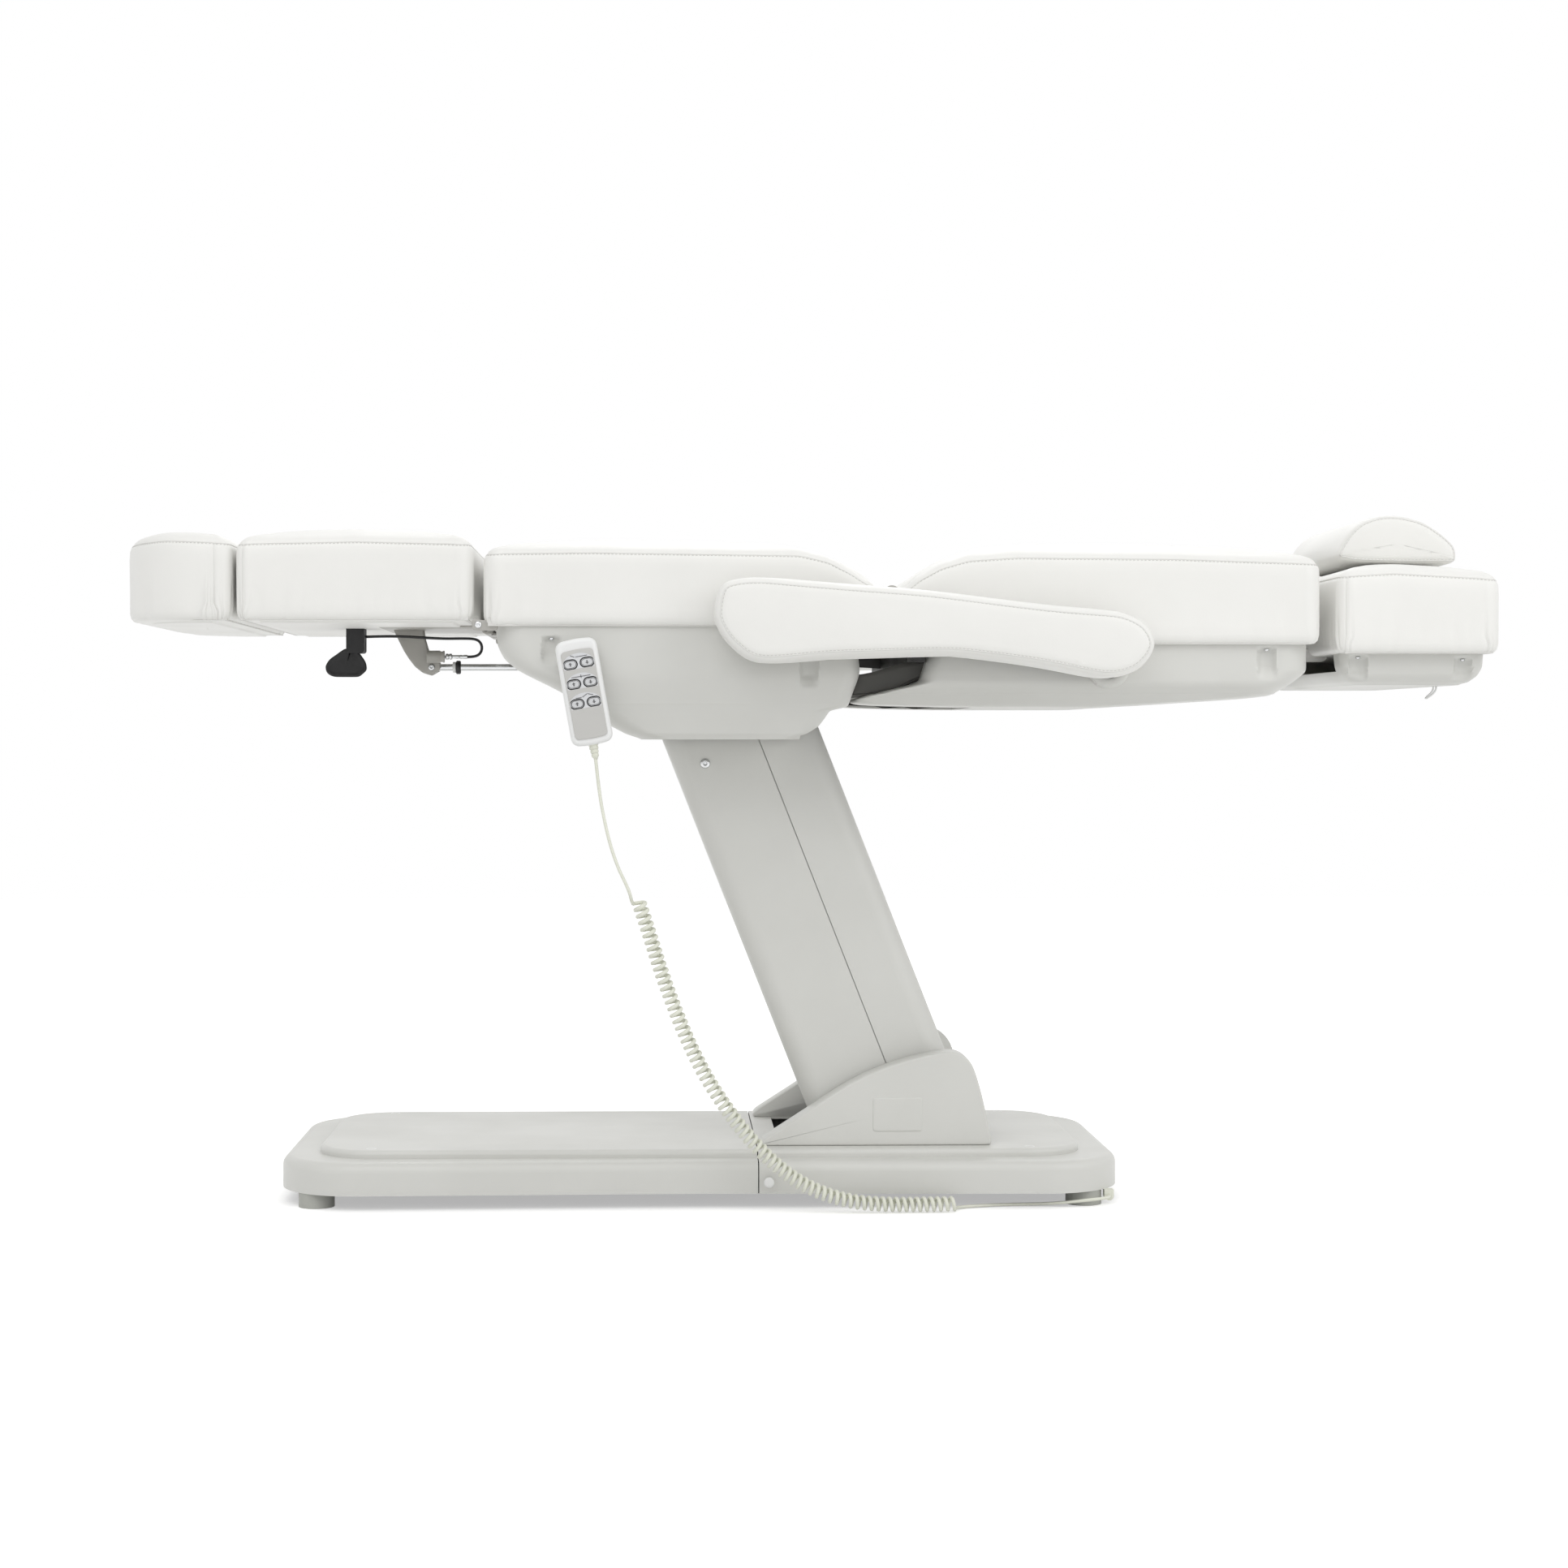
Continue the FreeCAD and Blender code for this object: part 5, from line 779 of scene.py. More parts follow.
headPillow = {
    "outline": [(0.749, 0.915), (0.767, 0.946), (0.789, 0.964), (0.814, 0.9715), (0.842, 0.9715),
        (0.874, 0.9635), (0.899, 0.949), (0.9205, 0.93), (0.926, 0.912), (0.9225, 0.9), (0.9, 0.8985),
        (0.86, 0.8985), (0.82, 0.899), (0.78, 0.9005), (0.757, 0.9045)],
    "rows": [(0.01, s, -0.1655) for s in (0.12, 0.35, 0.6, 0.8, 0.93, 1.0)] + [(0.0062, 1.0, -0.165),
        (0.0046, 1.0, -0.1644), (0.0036, 1.0, -0.1638), (0.0026, 1.0, -0.163), (0.0008, 1.0, -0.1605)]
        + [(0.0, 1.0, y) for y in (-0.153, -0.13, -0.1, -0.07, -0.035, 0.0, 0.035, 0.07, 0.1, 0.13, 0.153)]
        + [(0.0008, 1.0, 0.1605), (0.0026, 1.0, 0.163), (0.0036, 1.0, 0.1638), (0.0046, 1.0, 0.1644),
        (0.0062, 1.0, 0.165)] + [(0.01, s, 0.1655) for s in (1.0, 0.93, 0.8, 0.6, 0.35, 0.12)],
    "seamRows": (8, 24), "columns": 180, "cap": 0.005, "drawn": 0.0025, "fill": 0.8}
padding = {"voxel": 0.006, "pressure": 4.0, "frames": 20, "hold": 0.005, "seamDepth": 0.0011, "seamSpread": 1.1,
           "weltRadius": 0.0013, "weltLift": 0.0004, "weltSides": 7}


def smoothLoop(points, count):
    # a closed cubic spline through the points: a few corrections find its controls, then it is evenly resampled
    points = np.array(points)
    control = points.copy()
    for _ in range(12):
        control += points - (np.roll(control, 1, 0) + 4 * control + np.roll(control, -1, 0)) / 6
    t = np.linspace(0, 1, 40, endpoint=False)[None, :, None]
    weights = ((1 - t)**3, 3 * t**3 - 6 * t**2 + 4, -3 * t**3 + 3 * t**2 + 3 * t + 1, t**3)
    shifts = (1, 0, -1, -2)
    line = sum(weight * np.roll(control, shift, 0)[:, None] for weight, shift in zip(weights, shifts)) / 6
    return loopAlong(line.reshape(-1, points.shape[1]), count)


def padRings(loop, rows, side=1.0, drawn=0.0):
    # each row is the outline drawn in by its inset, shrunk by its scale and set at its place across
    inset, scale, across = np.array(rows).T
    ahead = unit(np.roll(loop, -1, 0) - np.roll(loop, 1, 0))
    outward = np.stack([-ahead[:, 1], ahead[:, 0]], -1)
    middle = loop.mean(0)
    plan = loop[None] - (inset + drawn)[:, None, None] * outward[None]
    plan = (plan - middle) * scale[:, None, None] + middle
    level = np.broadcast_to((side * across)[:, None], plan.shape[:2])
    return np.stack([plan[..., 0], level, plan[..., 1]], -1)


def padGrid(name, spec):
    # the pad's grid after its swelling, with a valley along each welt
    loop = smoothLoop(spec["outline"], spec["columns"])
    rings = padRings(loop, spec["rows"], drawn=spec["drawn"])
    piece = closedForm(name + "Draft", rings, None, None)
    held = np.concatenate([rings[row] for row in spec["seamRows"]])
    wrapped(piece, swollen(piece, {**padding, "cap": spec["cap"]}, held))
    away = np.arange(len(rings)) - np.array(spec["seamRows"])[:, None]
    valley = padding["seamDepth"] * np.exp(-(away / padding["seamSpread"])**2).sum(0)
    grids = pushed(piece, np.repeat(-valley[:, None], spec["columns"], 1))
    bpy.data.objects.remove(piece)
    return grids


def addPad(name, grids, spec, side, body, node):
    # the same grid serves both sides: the other side is its mirror image with its faces turned round
    grid, outward = [kind * np.array([1.0, side, 1.0]) for kind in grids]
    piece = closedForm(name, grid, leatherette, body, side < 0)
    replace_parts(piece, node)
    for number, row in enumerate(spec["seamRows"]):
        loopTube(f"{name}Welt{number + 1}", grid[row] + outward[row] * padding["weltLift"], outward[row],
                 padding["weltRadius"], padding["weltSides"], piping, body)
        edge = row + (1 if number else -1)
        addStitches(f"{name}Stitches{number + 1}", grid[edge], outward[edge], body)


armGrids = padGrid("armPad", armPad)
for hand, side in reversed(hands):
    addPad(f"armPad{hand}", armGrids, armPad, side, f"arm_{hand.lower()}", f"arm_pad_{hand.lower()}")
addPad("headPillow", padGrid("headPillow", headPillow), headPillow, 1.0, "headrest", "head_pillow")
print("arm pads and pillow made")

# Moulded casings: a tub of plan loops, one a level, with soft creases, a wall and scooped screw recesses
casing = {"wall": 0.003, "arc": 12, "leastRun": 0.003, "scoopSide": 0.02, "scoopRamp": 0.01, "scoopEdge": 0.001,
          "scoopFade": 0.4, "floorScales": (0.8, 0.5, 0.2), "sharp": 0.7, "screwLevel": 0.006,
          "screwDrop": 0.0015, "screwRadius": 0.0034}
casings = {
    "seatCasing": {
        "node": "seat_casing", "body": "seat",
        "levels": [(0.806, -0.4347, 0.0613, 0.288), (0.78, -0.4322, 0.0615, 0.288),
            (0.761, -0.4225, 0.0645, 0.288), (0.7456, -0.4036, 0.0662, 0.288),
            (0.735, -0.382, 0.064, 0.287), (0.7161, -0.3436, 0.057, 0.281),
            (0.7068, -0.331, 0.0542, 0.2775), (0.696, -0.315, 0.0499, 0.2735),
            (0.6913, -0.308, 0.0264, 0.2715), (0.6696, -0.276, 0.015, 0.2625),
            (0.659, -0.256, 0.002, 0.2585), (0.651, -0.2314, -0.0183, 0.252)],
        "step": 0.0026, "fine": 0.7, "soft": 2.2, "corners": (0.04, 0.026), "runs": (150, 46),
        "scoops": [(-0.005, 0.764, 0.722, 0.0125, 0.01), (-0.357, 0.79, 0.752, 0.0125, 0.01)],
        "cuts": [((-0.222, -0.13, 0.6), (0.12, 0.13, 0.9)), ((-0.015, -0.252, 0.6), (0.12, 0.252, 0.9)),
            ((-0.5, -0.034, 0.6), (-0.296, 0.034, 0.9))]},
    "backCasing": {
        "node": "back_casing", "body": "back",
        "levels": [(0.782, 0.164, 0.687, 0.284), (0.745, 0.153, 0.687, 0.284), (0.73, 0.148, 0.668, 0.283),
            (0.722, 0.116, 0.656, 0.278), (0.712, 0.074, 0.64, 0.262), (0.7075, 0.062, 0.6, 0.255),
            (0.7025, 0.062, 0.52, 0.247), (0.6995, 0.074, 0.46, 0.242), (0.6975, 0.14, 0.43, 0.238),
            (0.696, 0.33, 0.41, 0.225)],
        "step": 0.0026, "fine": 0.714, "soft": 1.6, "corners": (0.022, 0.04), "runs": (150, 46),
        "scoops": [(0.625, 0.776, 0.733, 0.0125, 0.01)],
        "cuts": [((0.0, -0.13, 0.6), (0.236, 0.13, 0.742)), ((0.13, -0.2285, 0.752),
            (0.175, -0.1995, 0.9)), ((0.13, 0.1995, 0.752), (0.175, 0.2285, 0.9)), ((0.66, -0.2155, 0.746),
            (0.72, 0.2155, 0.9))]},
    "headCasing": {
        "node": "head_casing", "body": "headrest",
        "levels": [(0.77, 0.733, 0.938, 0.262), (0.752, 0.735, 0.937, 0.261), (0.74, 0.739, 0.931, 0.258),
            (0.732, 0.748, 0.922, 0.249), (0.727, 0.762, 0.908, 0.236)],
        "step": 0.0018, "fine": 0.731, "soft": 2.0, "corners": (0.02, 0.03), "runs": (84, 46),
        "scoops": [(0.757, 0.766, 0.731, 0.0125, 0.01), (0.903, 0.763, 0.731, 0.0125, 0.01)],
        "cuts": [((0.7, -0.2165, 0.746), (0.772, 0.2165, 0.9))]}}
screwHead = [(0.97, -0.5), (1.0, 0.0), (0.94, 0.22), (0.75, 0.4), (0.5, 0.5), (0.42, 0.5), (0.34, 0.18),
             (0.1, 0.15)]


def softened(values, width):
    # a running mean weighted by a bell, with the ends repeated
    steps, bell = bellWeights(width)
    return np.convolve(np.pad(values, int(steps[-1]), "edge"), bell, "valid")


def cutOpenings(mesh, boxes):
    # the surface is split along the sides of each box, then the faces within a box are taken away
    form = bmesh.new()
    form.from_mesh(mesh)
    sides = [(np.eye(3)[axis], corner[axis]) for box in boxes for corner in box for axis in range(3)]
    for normal, place in sides:
        surface = [*form.verts, *form.edges, *form.faces]
        bmesh.ops.bisect_plane(form, geom=surface, plane_co=normal * place, plane_no=normal)
    form.to_mesh(mesh)
    middle = readVectors(mesh.polygons, "center")
    inside = np.any([np.all((middle > low) & (middle < high), 1) for low, high in np.array(boxes)], 0)
    form.faces.ensure_lookup_table()
    bmesh.ops.delete(form, geom=[form.faces[number] for number in np.flatnonzero(inside)], context="FACES")
    form.to_mesh(mesh)
    form.free()


def addScrew(name, place, outward, radius, body):
    # a domed head with a sunk middle, stood on its face
    spun(name, np.array(screwHead) * radius, 20, outward, place, brightSteel, body)


def addCasing(name, spec):
    # levels run from the rim down; a level's ends and half width come from the knots; the floor closes below
    knots = np.array(spec["levels"])
    level = np.concatenate([np.arange(knots[0, 0], spec["fine"], -spec["step"]),
                            np.arange(spec["fine"], knots[-1, 0] - 1e-6, -spec["step"] / 3)])
    lines = [np.interp(-level, -knots[:, 0], knots[:, i]) for i in (1, 2, 3)]
    first, last, half = [softened(line, spec["soft"]) for line in lines]
    room = np.minimum(half, (last - first) / 2) - casing["leastRun"]
    front, rear = [np.minimum(corner, room) for corner in spec["corners"]]
    rings = atLevels(planLoops(first, last, half, front, rear, casing["arc"], spec["runs"]), level)
    within = np.abs(rings[..., 1]) - half[:, None] + casing["scoopSide"]
    side = np.sign(rings[..., 1]) * np.clip(within / casing["scoopRamp"], 0, 1)
    for middle, top, low, width, deep in spec["scoops"]:
        span = np.sqrt(np.clip(1 - ((rings[..., 0] - middle) / width)**2, 0, 1))
        begin = 1 / (1 + np.exp(-(top - rings[..., 2]) / casing["scoopEdge"]))
        fade = np.clip((rings[..., 2] - low) / (casing["scoopFade"] * (top - low)), 0, 1)
        rings[..., 1] -= side * deep * span * begin * fade
    floor = rings[-1].mean(0)
    rings = np.concatenate([rings, [floor + (rings[-1] - floor) * scale for scale in casing["floorScales"]]])
    count, columns, _ = rings.shape
    points = np.concatenate([rings.reshape(-1, 3), floor[None]])
    faces = [quads(count, columns, True), fan((count - 1) * columns, columns, count * columns, True)]
    piece = addMesh(name, points, faces, moulding, None)
    cutOpenings(piece.data, spec["cuts"])
    wall = piece.modifiers.new("wall", "SOLIDIFY")
    wall.thickness = casing["wall"]
    wall.offset = -1.0
    bake(piece).set_sharp_from_angle(angle=casing["sharp"])
    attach(piece, spec["body"])
    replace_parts(piece, spec["node"])
    for number, (middle, top, _, _, deep) in enumerate(spec["scoops"]):
        reach = float(np.interp(casing["screwLevel"] - top, -knots[:, 0], knots[:, 3])) - deep / 2
        for hand, outward in hands:
            addScrew(f"{name}Screw{hand}{number + 1}", (middle, outward * reach, top - casing["screwDrop"]),
                     (0, 0, -1.0), casing["screwRadius"], spec["body"])


for casingName, casingSpec in casings.items():
    addCasing(casingName, casingSpec)
print("casings made:", len(casings))

# Arm rest cups on the back casing
armCup = {"place": (0.404, 0.750), "radius": 0.028, "inner": 0.276, "outer": 0.3085, "edge": 0.004, "sides": 40,
          "bore": [(0.012, 0.0), (0.0115, -0.001), (0.0085, -0.001)]}


def addCups(settings):
    # a round boss on each side, with a rounded rim and a shallow bore
    r, edge, tall = settings["radius"], settings["edge"], settings["outer"] - settings["inner"]
    turn = np.radians([0, 30, 60, 90])
    rim = [(r - edge + edge * c, tall - edge + edge * s) for c, s in zip(np.cos(turn), np.sin(turn))]
    profile = [(r, 0.0), *rim, *[(radius, tall + rise) for radius, rise in settings["bore"]]]
    x, z = settings["place"]
    for hand, side in hands:
        foot = (x, side * settings["inner"], z)
        spun(f"armCup{hand}", profile, settings["sides"], (0, side, 0), foot, moulding, "back")


addCups(armCup)

# Column shrouds: a cheek with a bowed top edge on each side of the column's foot, with a raised panel
shroud = {
    "outline": [(-0.068, 0.077), (-0.066, 0.0835), (-0.035, 0.1035), (-0.003, 0.124), (0.025, 0.143),
        (0.054, 0.1615), (0.082, 0.176), (0.111, 0.188), (0.135, 0.196), (0.156, 0.2015), (0.178, 0.2065),
        (0.196, 0.2095), (0.212, 0.209), (0.224, 0.203), (0.2335, 0.191), (0.24, 0.173), (0.2465, 0.15),
        (0.255, 0.113), (0.262, 0.077), (0.18, 0.077), (0.1, 0.077), (0.02, 0.077)],
    "rows": [(0.001, 0.4, 0.1275), (0.001, 1.0, 0.1275), (0.0, 1.0, 0.1285), (0.0, 1.0, 0.15),
        (0.0, 1.0, 0.166), (0.0004, 1.0, 0.1676), (0.0012, 1.0, 0.1688), (0.0022, 1.0, 0.1694),
        (0.003, 0.995, 0.1695), (0.003, 0.8, 0.1695), (0.003, 0.4, 0.1695)],
    "columns": 240, "round": 2.2}
shroudPanel = {
    "outline": [(0.092, 0.097), (0.092, 0.145), (0.162, 0.145), (0.162, 0.097)],
    "rows": [(0.0, 0.5, 0.168), (0.0, 1.0, 0.168), (0.0, 1.0, 0.1696), (0.0005, 1.0, 0.1702),
        (0.0014, 1.0, 0.1705), (0.0014, 0.9, 0.1705), (0.0014, 0.4, 0.1705)],
    "columns": 120, "round": 2.2}


def roundedPolygon(points, count, width):
    # straight runs evenly resampled, then each point averaged with its neighbours round the loop
    line = loopAlong(np.array(points), count)
    return sum(weight * np.roll(line, step, 0) for step, weight in zip(*bellWeights(width)))


def sidePlates(name, spec, finish, body):
    # an outline carried across its rows on one side, and its mirror image on the other
    loop = roundedPolygon(spec["outline"], spec["columns"], spec["round"])
    return [closedForm(name + hand, padRings(loop, spec["rows"], side), finish, body, side < 0)
            for hand, side in hands]


for (hand, _), cheek in zip(hands, sidePlates("columnShroud", shroud, moulding, "base")):
    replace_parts(cheek, f"column_shroud_{hand.lower()}")
sidePlates("shroudPanel", shroudPanel, moulding, "base")
print("column shrouds made")

# Lever arms: a bowed steel plate on each side, from the back casing into the seat casing's open end
leverArm = {
    "outline": [(0.044, 0.709), (0.048, 0.74), (0.0706, 0.7418), (0.0872, 0.745), (0.1097, 0.752),
        (0.1269, 0.7568), (0.1462, 0.76), (0.185, 0.7655), (0.19, 0.74), (0.16, 0.736), (0.1376, 0.7284),
        (0.1205, 0.7192), (0.1032, 0.7155), (0.0775, 0.7105), (0.0592, 0.7088)],
    "rows": [(0.001, 0.3, 0.235), (0.001, 1.0, 0.235), (0.0, 1.0, 0.2356), (0.0, 1.0, 0.2404),
        (0.001, 1.0, 0.241), (0.001, 0.6, 0.241), (0.001, 0.25, 0.241)],
    "edge": [(0.048, 0.7125), (0.0775, 0.7138), (0.1032, 0.7188), (0.1205, 0.7226), (0.1376, 0.7316),
        (0.15, 0.737)],
    "edgeRadius": 0.0016, "edgeSide": 0.2412, "columns": 180, "round": 1.6}
sidePlates("backLeverArm", leverArm, hingeSteel, "back")
for hand, side in hands:
    line = along(np.array([(x, side * leverArm["edgeSide"], z) for x, z in leverArm["edge"]]), 60)
    closedForm(f"backLeverEdge{hand}", tubeRings(line, leverArm["edgeRadius"], 8), hingeSteel, "back")
print("lever arms made")

# Leg bracket: two bowed cheeks on a hinge flange, with the knuckles and the gas spring's valve head
legCheek = {
    "outline": [(-0.5434, 0.7449), (-0.5548, 0.7486), (-0.5663, 0.7577), (-0.575, 0.769),
        (-0.5823, 0.7806), (-0.5937, 0.8034), (-0.5983, 0.8138), (-0.5548, 0.8138), (-0.5526, 0.7989),
        (-0.548, 0.7829), (-0.5389, 0.7714), (-0.53, 0.763), (-0.5295, 0.753)],
    "rows": [(0.001, 0.4, 0.01), (0.001, 1.0, 0.01), (0.0, 1.0, 0.0106), (0.0, 1.0, 0.0143),
        (0.0008, 1.0, 0.015), (0.001, 0.85, 0.015), (0.001, 0.4, 0.015)],
    "columns": 160, "round": 1.5}
bracket = {
    "flange": (-0.612, -0.462, 0.12),
    "flangeRows": [(0.004, 0.811), (0.0, 0.8118), (0.0, 0.814), (0.004, 0.814)], "corner": 0.008,
    "axis": (-0.4565, 0.80797), "knuckle": 0.006, "knuckleY": (0.034, 0.12),
    "head": (-0.548, -0.0225, 0.772),
    "headProfile": [(0.0088, 0.0), (0.009, 0.002), (0.009, 0.019), (0.0078, 0.02), (0.0078, 0.023),
        (0.0086, 0.0235), (0.0086, 0.0255), (0.004, 0.026)],
    "arc": 8, "runs": (30, 40), "bevel": 0.0006, "bore": 0.0032}


def addBracket(settings):
    # the flange is a stack of plan loops; the valve head and the knuckles are spun
    inset, level = np.array(settings["flangeRows"]).T
    front, rear, half = settings["flange"]
    corner = settings["corner"] - inset
    loops = planLoops(front + inset, rear - inset, half - inset, corner, corner, settings["arc"],
                      settings["runs"])
    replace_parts(closedForm("legFlange", atLevels(loops, level), greySteel, "leg"), "leg_bracket")
    spun("valveHead", settings["headProfile"], 28, (1.0, 0, 0), settings["head"], greySteel, "leg")
    start, end = settings["knuckleY"]
    r, bevel, long = settings["knuckle"], settings["bevel"], end - start
    barrel = [(r - bevel, 0.0), (r, bevel), (r, long - bevel), (r - bevel, long), (settings["bore"], long)]
    x, z = settings["axis"]
    for hand, side in hands:
        spun(f"legKnuckle{hand}", barrel, 24, (0, side, 0), (x, side * start, z), greySteel, "leg")


addBracket(bracket)
sidePlates("legCheek", legCheek, greySteel, "leg")
print("leg bracket made")

# Hand control: a case with its face, cord sleeve and hook, then its printed panels, rings, arrows and pictures
shell = {
    "half": (0.0285, 0.07), "round": 0.0095, "bow": 0.003, "columns": 160, "faceHalf": (0.0222, 0.0595),
    "faceShift": -0.0028, "faceRound": 0.005,
    "rows": [(0.006, 0.3, -0.299), (0.006, 0.8, -0.299), (0.006, 1.0, -0.299), (0.0025, 1.0, -0.2996),
        (0.0006, 1.0, -0.3015), (0.0, 1.0, -0.3045), (0.0, 1.0, -0.313), (0.0006, 1.0, -0.3162),
        (0.0019, 1.0, -0.3182), (0.004, 1.0, -0.3193), (0.0056, 1.0, -0.3196), (0.006, 0.97, -0.3194),
        (0.006, 0.9, -0.319), (0.006, 0.3, -0.319)],
    "faceRows": [(0.001, 0.4, -0.3186), (0.0, 1.0, -0.3186), (0.0, 1.0, -0.3207), (0.0003, 1.0, -0.321),
        (0.001, 0.98, -0.321), (0.001, 0.6, -0.321), (0.001, 0.2, -0.321)],
    "sleeve": [(0.0068, 0.0), (0.0068, 0.004), (0.0058, 0.0045), (0.0058, 0.006), (0.0062, 0.0065),
        (0.0062, 0.009), (0.0052, 0.0095), (0.0052, 0.011), (0.0056, 0.0115), (0.0056, 0.014),
        (0.0046, 0.0145), (0.0046, 0.016), (0.005, 0.0165), (0.0049, 0.019), (0.0032, 0.0215),
        (0.0026, 0.0235)],
    "sleeveY": -0.309, "sleeveSink": 0.0005,
    "hook": [(-0.011, 0.052), (-0.011, 0.068), (0.011, 0.068), (0.011, 0.052)],
    "hookRows": [(0.002, 0.5, -0.2884), (0.0, 1.0, -0.2884), (0.0, 1.0, -0.299), (0.002, 0.5, -0.299)]}
handset = {
    "place": (-0.312, 0.715975), "tilt": 10.0, "face": -0.321, "keyFace": -0.3218, "lift": 0.0002,
    "keyPitch": (0.023, 0.027), "keyRise": 0.012, "key": (0.017, 0.011), "ring": 0.0008,
    "ringInset": 0.0008, "halo": 0.0032, "dome": (0.0205, 0.0125), "domeRise": 0.0015, "panelDrop": 0.0068,
    "pictureRise": 0.0092, "stroke": 0.0009,
    "arrow": [(-0.0009, -0.0024), (0.0009, -0.0024), (0.0009, 0.0002), (0.0024, 0.0002), (0.0, 0.0027),
        (-0.0024, 0.0002), (-0.0009, 0.0002)],
    "beds": [[((-0.01, 0.003), (-0.0045, 0.0)), ((-0.003, 0.0), (0.013, 0.0))], [((-0.013, 0.0),
        (0.013, 0.0)), ((0.0, -0.002), (0.0, 0.0024))], [((-0.012, -0.0012), (-0.004, -0.0012)),
        ((-0.003, -0.001), (0.004, 0.0026)), ((0.0045, 0.0026), (0.012, -0.0004))]]}


def oblong(half, radius, bow, count):
    # a rounded rectangle walked clockwise from the front, its short ends bowed outwards
    wide, tall = half
    turn = np.linspace(0, math.pi / 2, 12)
    arcs = []
    for x, z, start in ((-1, -1, 1.5), (-1, 1, 1.0), (1, 1, 0.5), (1, -1, 0.0)):
        angle = start * math.pi - turn
        arcs.append(np.stack([x * (wide - radius) + radius * np.cos(angle),
                              z * (tall - radius) + radius * np.sin(angle)], -1))
    loop = loopAlong(np.concatenate(arcs), count)
    swell = bow * (1 - (loop[:, 0] / wide)**2) * np.sign(loop[:, 1]) * (np.abs(loop[:, 1]) > tall - radius)
    return loop + np.stack([np.zeros(count), swell], -1)


def tilted(points, shift=0.0):
    # points drawn upright about the middle are turned and carried to the hand control's place
    turn = math.radians(handset["tilt"])
    x, z = handset["place"]
    across, depth, up = np.moveaxis(points, -1, 0)
    up = up + shift
    return np.stack([x + across * math.cos(turn) - up * math.sin(turn), depth,
                     z + across * math.sin(turn) + up * math.cos(turn)], -1)


def addHandsetShell(settings):
    # case, face and hook are outlines carried from back to front; the sleeve is spun and hangs from the case
    bow, columns = settings["bow"], settings["columns"]
    loops = {"handsetShell": oblong(settings["half"], settings["round"], bow, columns),
             "handsetFace": oblong(settings["faceHalf"], settings["faceRound"], bow / 2, columns),
             "handsetHook": roundedPolygon(settings["hook"], 80, 2.0)}
    forms = {"handsetShell": ("rows", 0.0, shellWhite, "handset_case"),
             "handsetFace": ("faceRows", settings["faceShift"], membrane, "handset_face"),
             "handsetHook": ("hookRows", 0.0, shellWhite, None)}
    for name, (rows, shift, finish, node) in forms.items():
        piece = closedForm(name, tilted(padRings(loops[name], settings[rows]), shift), finish, "seat", True)
        if node:
            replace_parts(piece, node)
    across, ahead, down = np.moveaxis(discRings(settings["sleeve"], 28), -1, 0)
    top = settings["sleeveSink"] - settings["half"][1]
    sleeve = tilted(np.stack([across, settings["sleeveY"] + ahead, top - down], -1))
    closedForm("handsetSleeve", sleeve, cordJacket, "seat", True)


def onHandset(points, depth):
    # flat points (across, up) set on the tilted face at a depth
    across, up = np.asarray(points, float).T
    return tilted(np.stack([across, np.full(len(across), depth), up], -1))


def addPrints(name, outlines, face, finish, body, lift=1.0):
    # thin plates, each with a front, a back and a rim; outlines run anticlockwise seen from the front
    points, faces, start = [], [], 0
    for outline in outlines:
        count = len(outline)
        depths = (face - lift * handset["lift"], face + handset["lift"] / 2)
        points += [onHandset(outline, depth) for depth in depths]
        ring = start + np.arange(count)
        following = start + (np.arange(count) + 1) % count
        rim = np.stack([following, ring, ring + count, following + count], -1)
        faces += [ring[None], ring[None, ::-1] + count, rim]
        start += 2 * count
    addMesh(name, np.concatenate(points), faces, finish, body, False)


def stadium(middle, wide, tall):
    # an oblong with round ends
    turn = np.linspace(-math.pi / 2, math.pi / 2, 14)
    r, run = tall / 2, wide / 2 - tall / 2
    right = np.stack([run + r * np.cos(turn), r * np.sin(turn)], -1)
    return np.concatenate([right, -right]) + np.array(middle)


def ringOutlines(middle, wide, tall, thick):
    # a ring as a row of small four-sided plates
    outer, inner = stadium(middle, wide, tall), stadium(middle, wide - 2 * thick, tall - 2 * thick)
    return list(np.stack([outer, np.roll(outer, -1, 0), np.roll(inner, -1, 0), inner], 1))


def bar(start, end, thick):
    # a straight printed stroke
    side = unit(np.array([start[1] - end[1], end[0] - start[0]])) * thick / 2
    return np.stack([start - side, end - side, end + side, start + side])


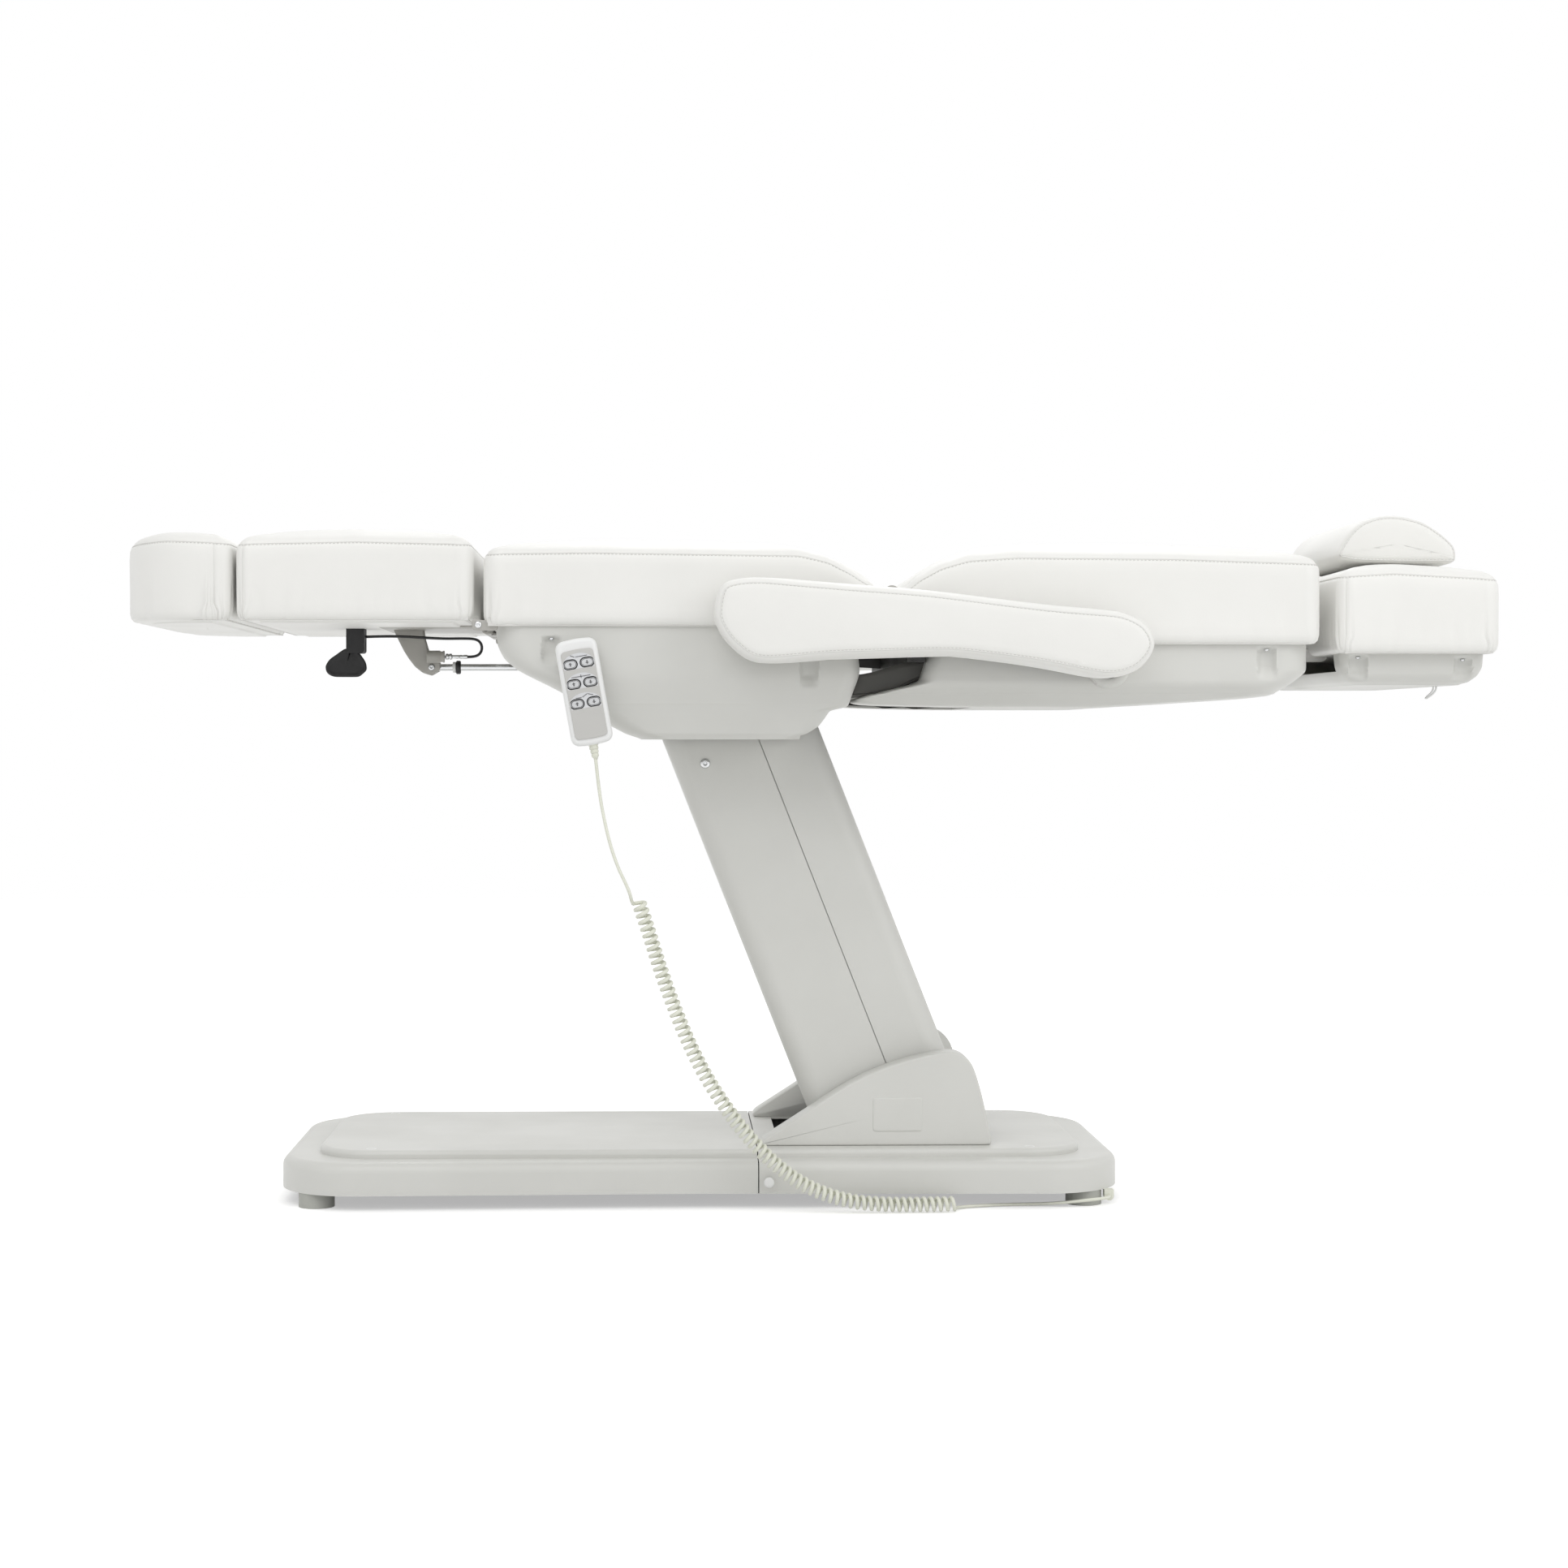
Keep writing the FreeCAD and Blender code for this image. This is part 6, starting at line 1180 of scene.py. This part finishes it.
def addHandsetPrints(settings):
    # each row has a domed panel, a picture and two ringed keys, one with its arrow up and one down
    (pitch, drop), (wide, tall) = settings["keyPitch"], settings["key"]
    reach, rise = settings["dome"]
    arch = np.linspace(0, math.pi, 26)
    upArrow = np.array(settings["arrow"])
    downArrow = (upArrow * (1, -1))[::-1]
    panels, pictures, number = [], [], 0
    for row, strokes in enumerate(settings["beds"]):
        level = settings["keyRise"] + drop * (1 - row)
        foot = level - settings["panelDrop"]
        dome = np.stack([reach * np.cos(arch), level + settings["domeRise"] + rise * np.sin(arch)], -1)
        panels.append(np.concatenate([[(-reach, foot), (reach, foot)], dome]))
        lift = np.array([0.0, level + settings["pictureRise"]])
        pictures += [bar(start + lift, end + lift, settings["stroke"]) for start, end in np.array(strokes)]
        for side, arrow in ((-0.5, upArrow), (0.5, downArrow)):
            number += 1
            middle = (pitch * side, level)
            panels.append(stadium(middle, wide + settings["halo"], tall + settings["halo"]))
            inset, face, key = settings["ringInset"], settings["keyFace"], f"key_{number}"
            ring = ringOutlines(middle, wide - inset, tall - inset, settings["ring"])
            addPrints(f"keyRing{number}", ring, face, printDark, key)
            addPrints(f"keyArrow{number}", [arrow + middle], face, printDark, key)
    addPrints("handsetPanels", panels, settings["face"], printPale, "seat", 0.5)
    addPrints("handsetPictures", pictures, settings["face"], printDark, "seat", 2.0)


addHandsetShell(shell)
addHandsetPrints(handset)
print("hand control printed")

# Small fittings: bolts, side plugs, caps on the base and the pull wire under the head rest
bolts = {"columnScrew": (-0.144, 0.1203, 0.617, 0.0075, "front_arm"),
         "legBolt": (-0.542, 0.015, 0.75697, 0.0052, "leg"),
         "legHingeBolt": (-0.4565, 0.2865, 0.80797, 0.0050, "seat")}
fittings = {
    "plug": (-0.058, 0.2475, 0.038),
    "plugProfile": [(0.0073, -0.002), (0.0073, 0.0002), (0.006789, 0.0011), (0.00438, 0.0018),
        (0.00146, 0.002)],
    "caps": [(-0.614, 0.18, 0.077), (0.313, 0.18, 0.077)],
    "capProfile": [(0.0072, -0.001), (0.0072, 0.0002), (0.0066, 0.0004), (0.0058, 0.0001),
        (0.0052, -0.0006), (0.003, -0.0007)],
    "pull": [(0.897, -0.15, 0.732), (0.898, -0.15, 0.7235), (0.893, -0.15, 0.7165),
        (0.887, -0.1495, 0.712), (0.884, -0.143, 0.7095), (0.887, -0.1365, 0.712), (0.893, -0.136, 0.7165),
        (0.898, -0.136, 0.7235), (0.897, -0.136, 0.732)],
    "pullRadius": 0.0014}
for hand, side in hands:
    for name, (x, y, z, radius, body) in bolts.items():
        addScrew(name + hand, (x, side * y, z), (0, side, 0), radius, body)
    x, y, z = fittings["plug"]
    spun(f"basePlug{hand}", fittings["plugProfile"], 28, (0, side, 0), (x, side * y, z), shellWhite, "base")
    for number, (x, y, z) in enumerate(fittings["caps"]):
        place, up = (x, side * y, z), (0, 0, 1.0)
        spun(f"baseScrewCap{hand}{number + 1}", fittings["capProfile"], 24, up, place, shellWhite, "base")
pullRings = tubeRings(routeLine(fittings["pull"], 60), fittings["pullRadius"], 8)
closedForm("headPullWire", pullRings, shellWhite, "headrest")
print("fittings added")

# Leg release: a dished paddle, cable ends, the gas spring's barrel and collar, and the leg rest's hinge eyes
paddle = {
    "outline": [(-0.6657, 0.7819), (-0.6615, 0.7836), (-0.6583, 0.7902), (-0.65, 0.7902),
        (-0.6488, 0.7836), (-0.6476, 0.7816), (-0.6392, 0.7704), (-0.6344, 0.7621), (-0.6332, 0.7547),
        (-0.6352, 0.7497), (-0.6418, 0.7439), (-0.6484, 0.7418), (-0.662, 0.7417), (-0.6749, 0.7418),
        (-0.6832, 0.7431), (-0.6902, 0.7481), (-0.6923, 0.7551), (-0.6914, 0.7596), (-0.6864, 0.7671),
        (-0.6765, 0.7745)],
    "rows": [(0.0075, 0.3, 0.0492), (0.0075, 0.7, 0.0492), (0.0075, 1.0, 0.0492), (0.005, 1.0, 0.0494),
        (0.0036, 1.0, 0.0501), (0.0024, 1.0, 0.0505), (0.001, 1.0, 0.0502), (0.0, 1.0, 0.0492),
        (0.0, 1.0, 0.045), (0.0008, 1.0, 0.0438), (0.003, 1.0, 0.0435), (0.0075, 1.0, 0.0435),
        (0.0075, 0.7, 0.0435), (0.0075, 0.3, 0.0435)],
    "columns": 120}
paddleLoop = smoothLoop(paddle["outline"], paddle["columns"])
paddlePiece = closedForm("releasePaddle", padRings(paddleLoop, paddle["rows"], -1.0), blackPlastic, "paddle")
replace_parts(paddlePiece, "release_paddle")
release = {  # name: body, place, sides, profile of (radius, distance)
    "gasBarrel": ("gas_cylinder", (-0.398, 0.0, 0.757), 24, [(0.0045, 0.0205), (0.0106, 0.0205),
        (0.0106, 0.0008), (0.0112, 0.0), (0.0122, 0.0), (0.013, 0.001), (0.013, 0.1885), (0.012, 0.19),
        (0.004, 0.19)]),
    "gasCollar": ("gas_rod", (-0.5072, 0.0, 0.75697), 24, [(0.0055, -0.0002), (0.0088, 0.0),
        (0.0099, 0.0012), (0.0099, 0.0055), (0.0088, 0.0068), (0.0055, 0.007)]),
    "gasWasher": ("gas_rod", (-0.5118, 0.0, 0.75697), 24, [(0.0055, -0.0002), (0.0076, 0.0),
        (0.008, 0.0006), (0.008, 0.0038), (0.0076, 0.0044), (0.0055, 0.0046)]),
    "cableFerrule": ("leg", (-0.4995, -0.0226, 0.7717), 24, [(0.0021, -0.0002), (0.003, 0.0),
        (0.0031, 0.001), (0.0026, 0.0035), (0.0031, 0.006), (0.0031, 0.0095), (0.0028, 0.0105),
        (0.0021, 0.0107)]),
    "cableStud": ("leg", (-0.512, -0.0226, 0.7719), 24, [(0.0021, 0.0), (0.0026, 0.0004), (0.0026, 0.0124),
        (0.0021, 0.0128)]),
    "cableNut": ("leg", (-0.5205, -0.0226, 0.772), 6, [(0.0021, 0.0), (0.0044, 0.0), (0.0051, 0.0008),
        (0.0051, 0.0036), (0.004, 0.0042), (0.004, 0.0048), (0.0051, 0.0054), (0.0051, 0.0082),
        (0.0044, 0.009), (0.0021, 0.009)])}
releaseFinish = {"gas_cylinder": blackPlastic, "gas_rod": blackPlastic, "leg": brightSteel}
turnedPieces = {}
for name, (body, place, sides, profile) in release.items():
    finish = shellWhite if name == "gasWasher" else releaseFinish[body]
    turnedPieces[name] = spun(name, profile, sides, (1, 0, 0), place, finish, body)
# the barrel's mouth is bored wide, so the rod's collar goes in when the leg rest is down
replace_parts(turnedPieces["gasBarrel"], "gas_spring_cylinder")
legEye = {
    "outline": [(-0.465, 0.8), (-0.465, 0.816), (-0.43, 0.812), (-0.43, 0.8)],
    "rows": [(0.001, 0.3, 0.275), (0.001, 1.0, 0.275), (0.0, 1.0, 0.2756), (0.0, 1.0, 0.286),
        (0.0008, 1.0, 0.2865), (0.001, 0.3, 0.2865)],
    "columns": 120, "round": 6.0}
sidePlates("legHingeEye", legEye, greySteel, "seat")
print("leg release and bolts added")
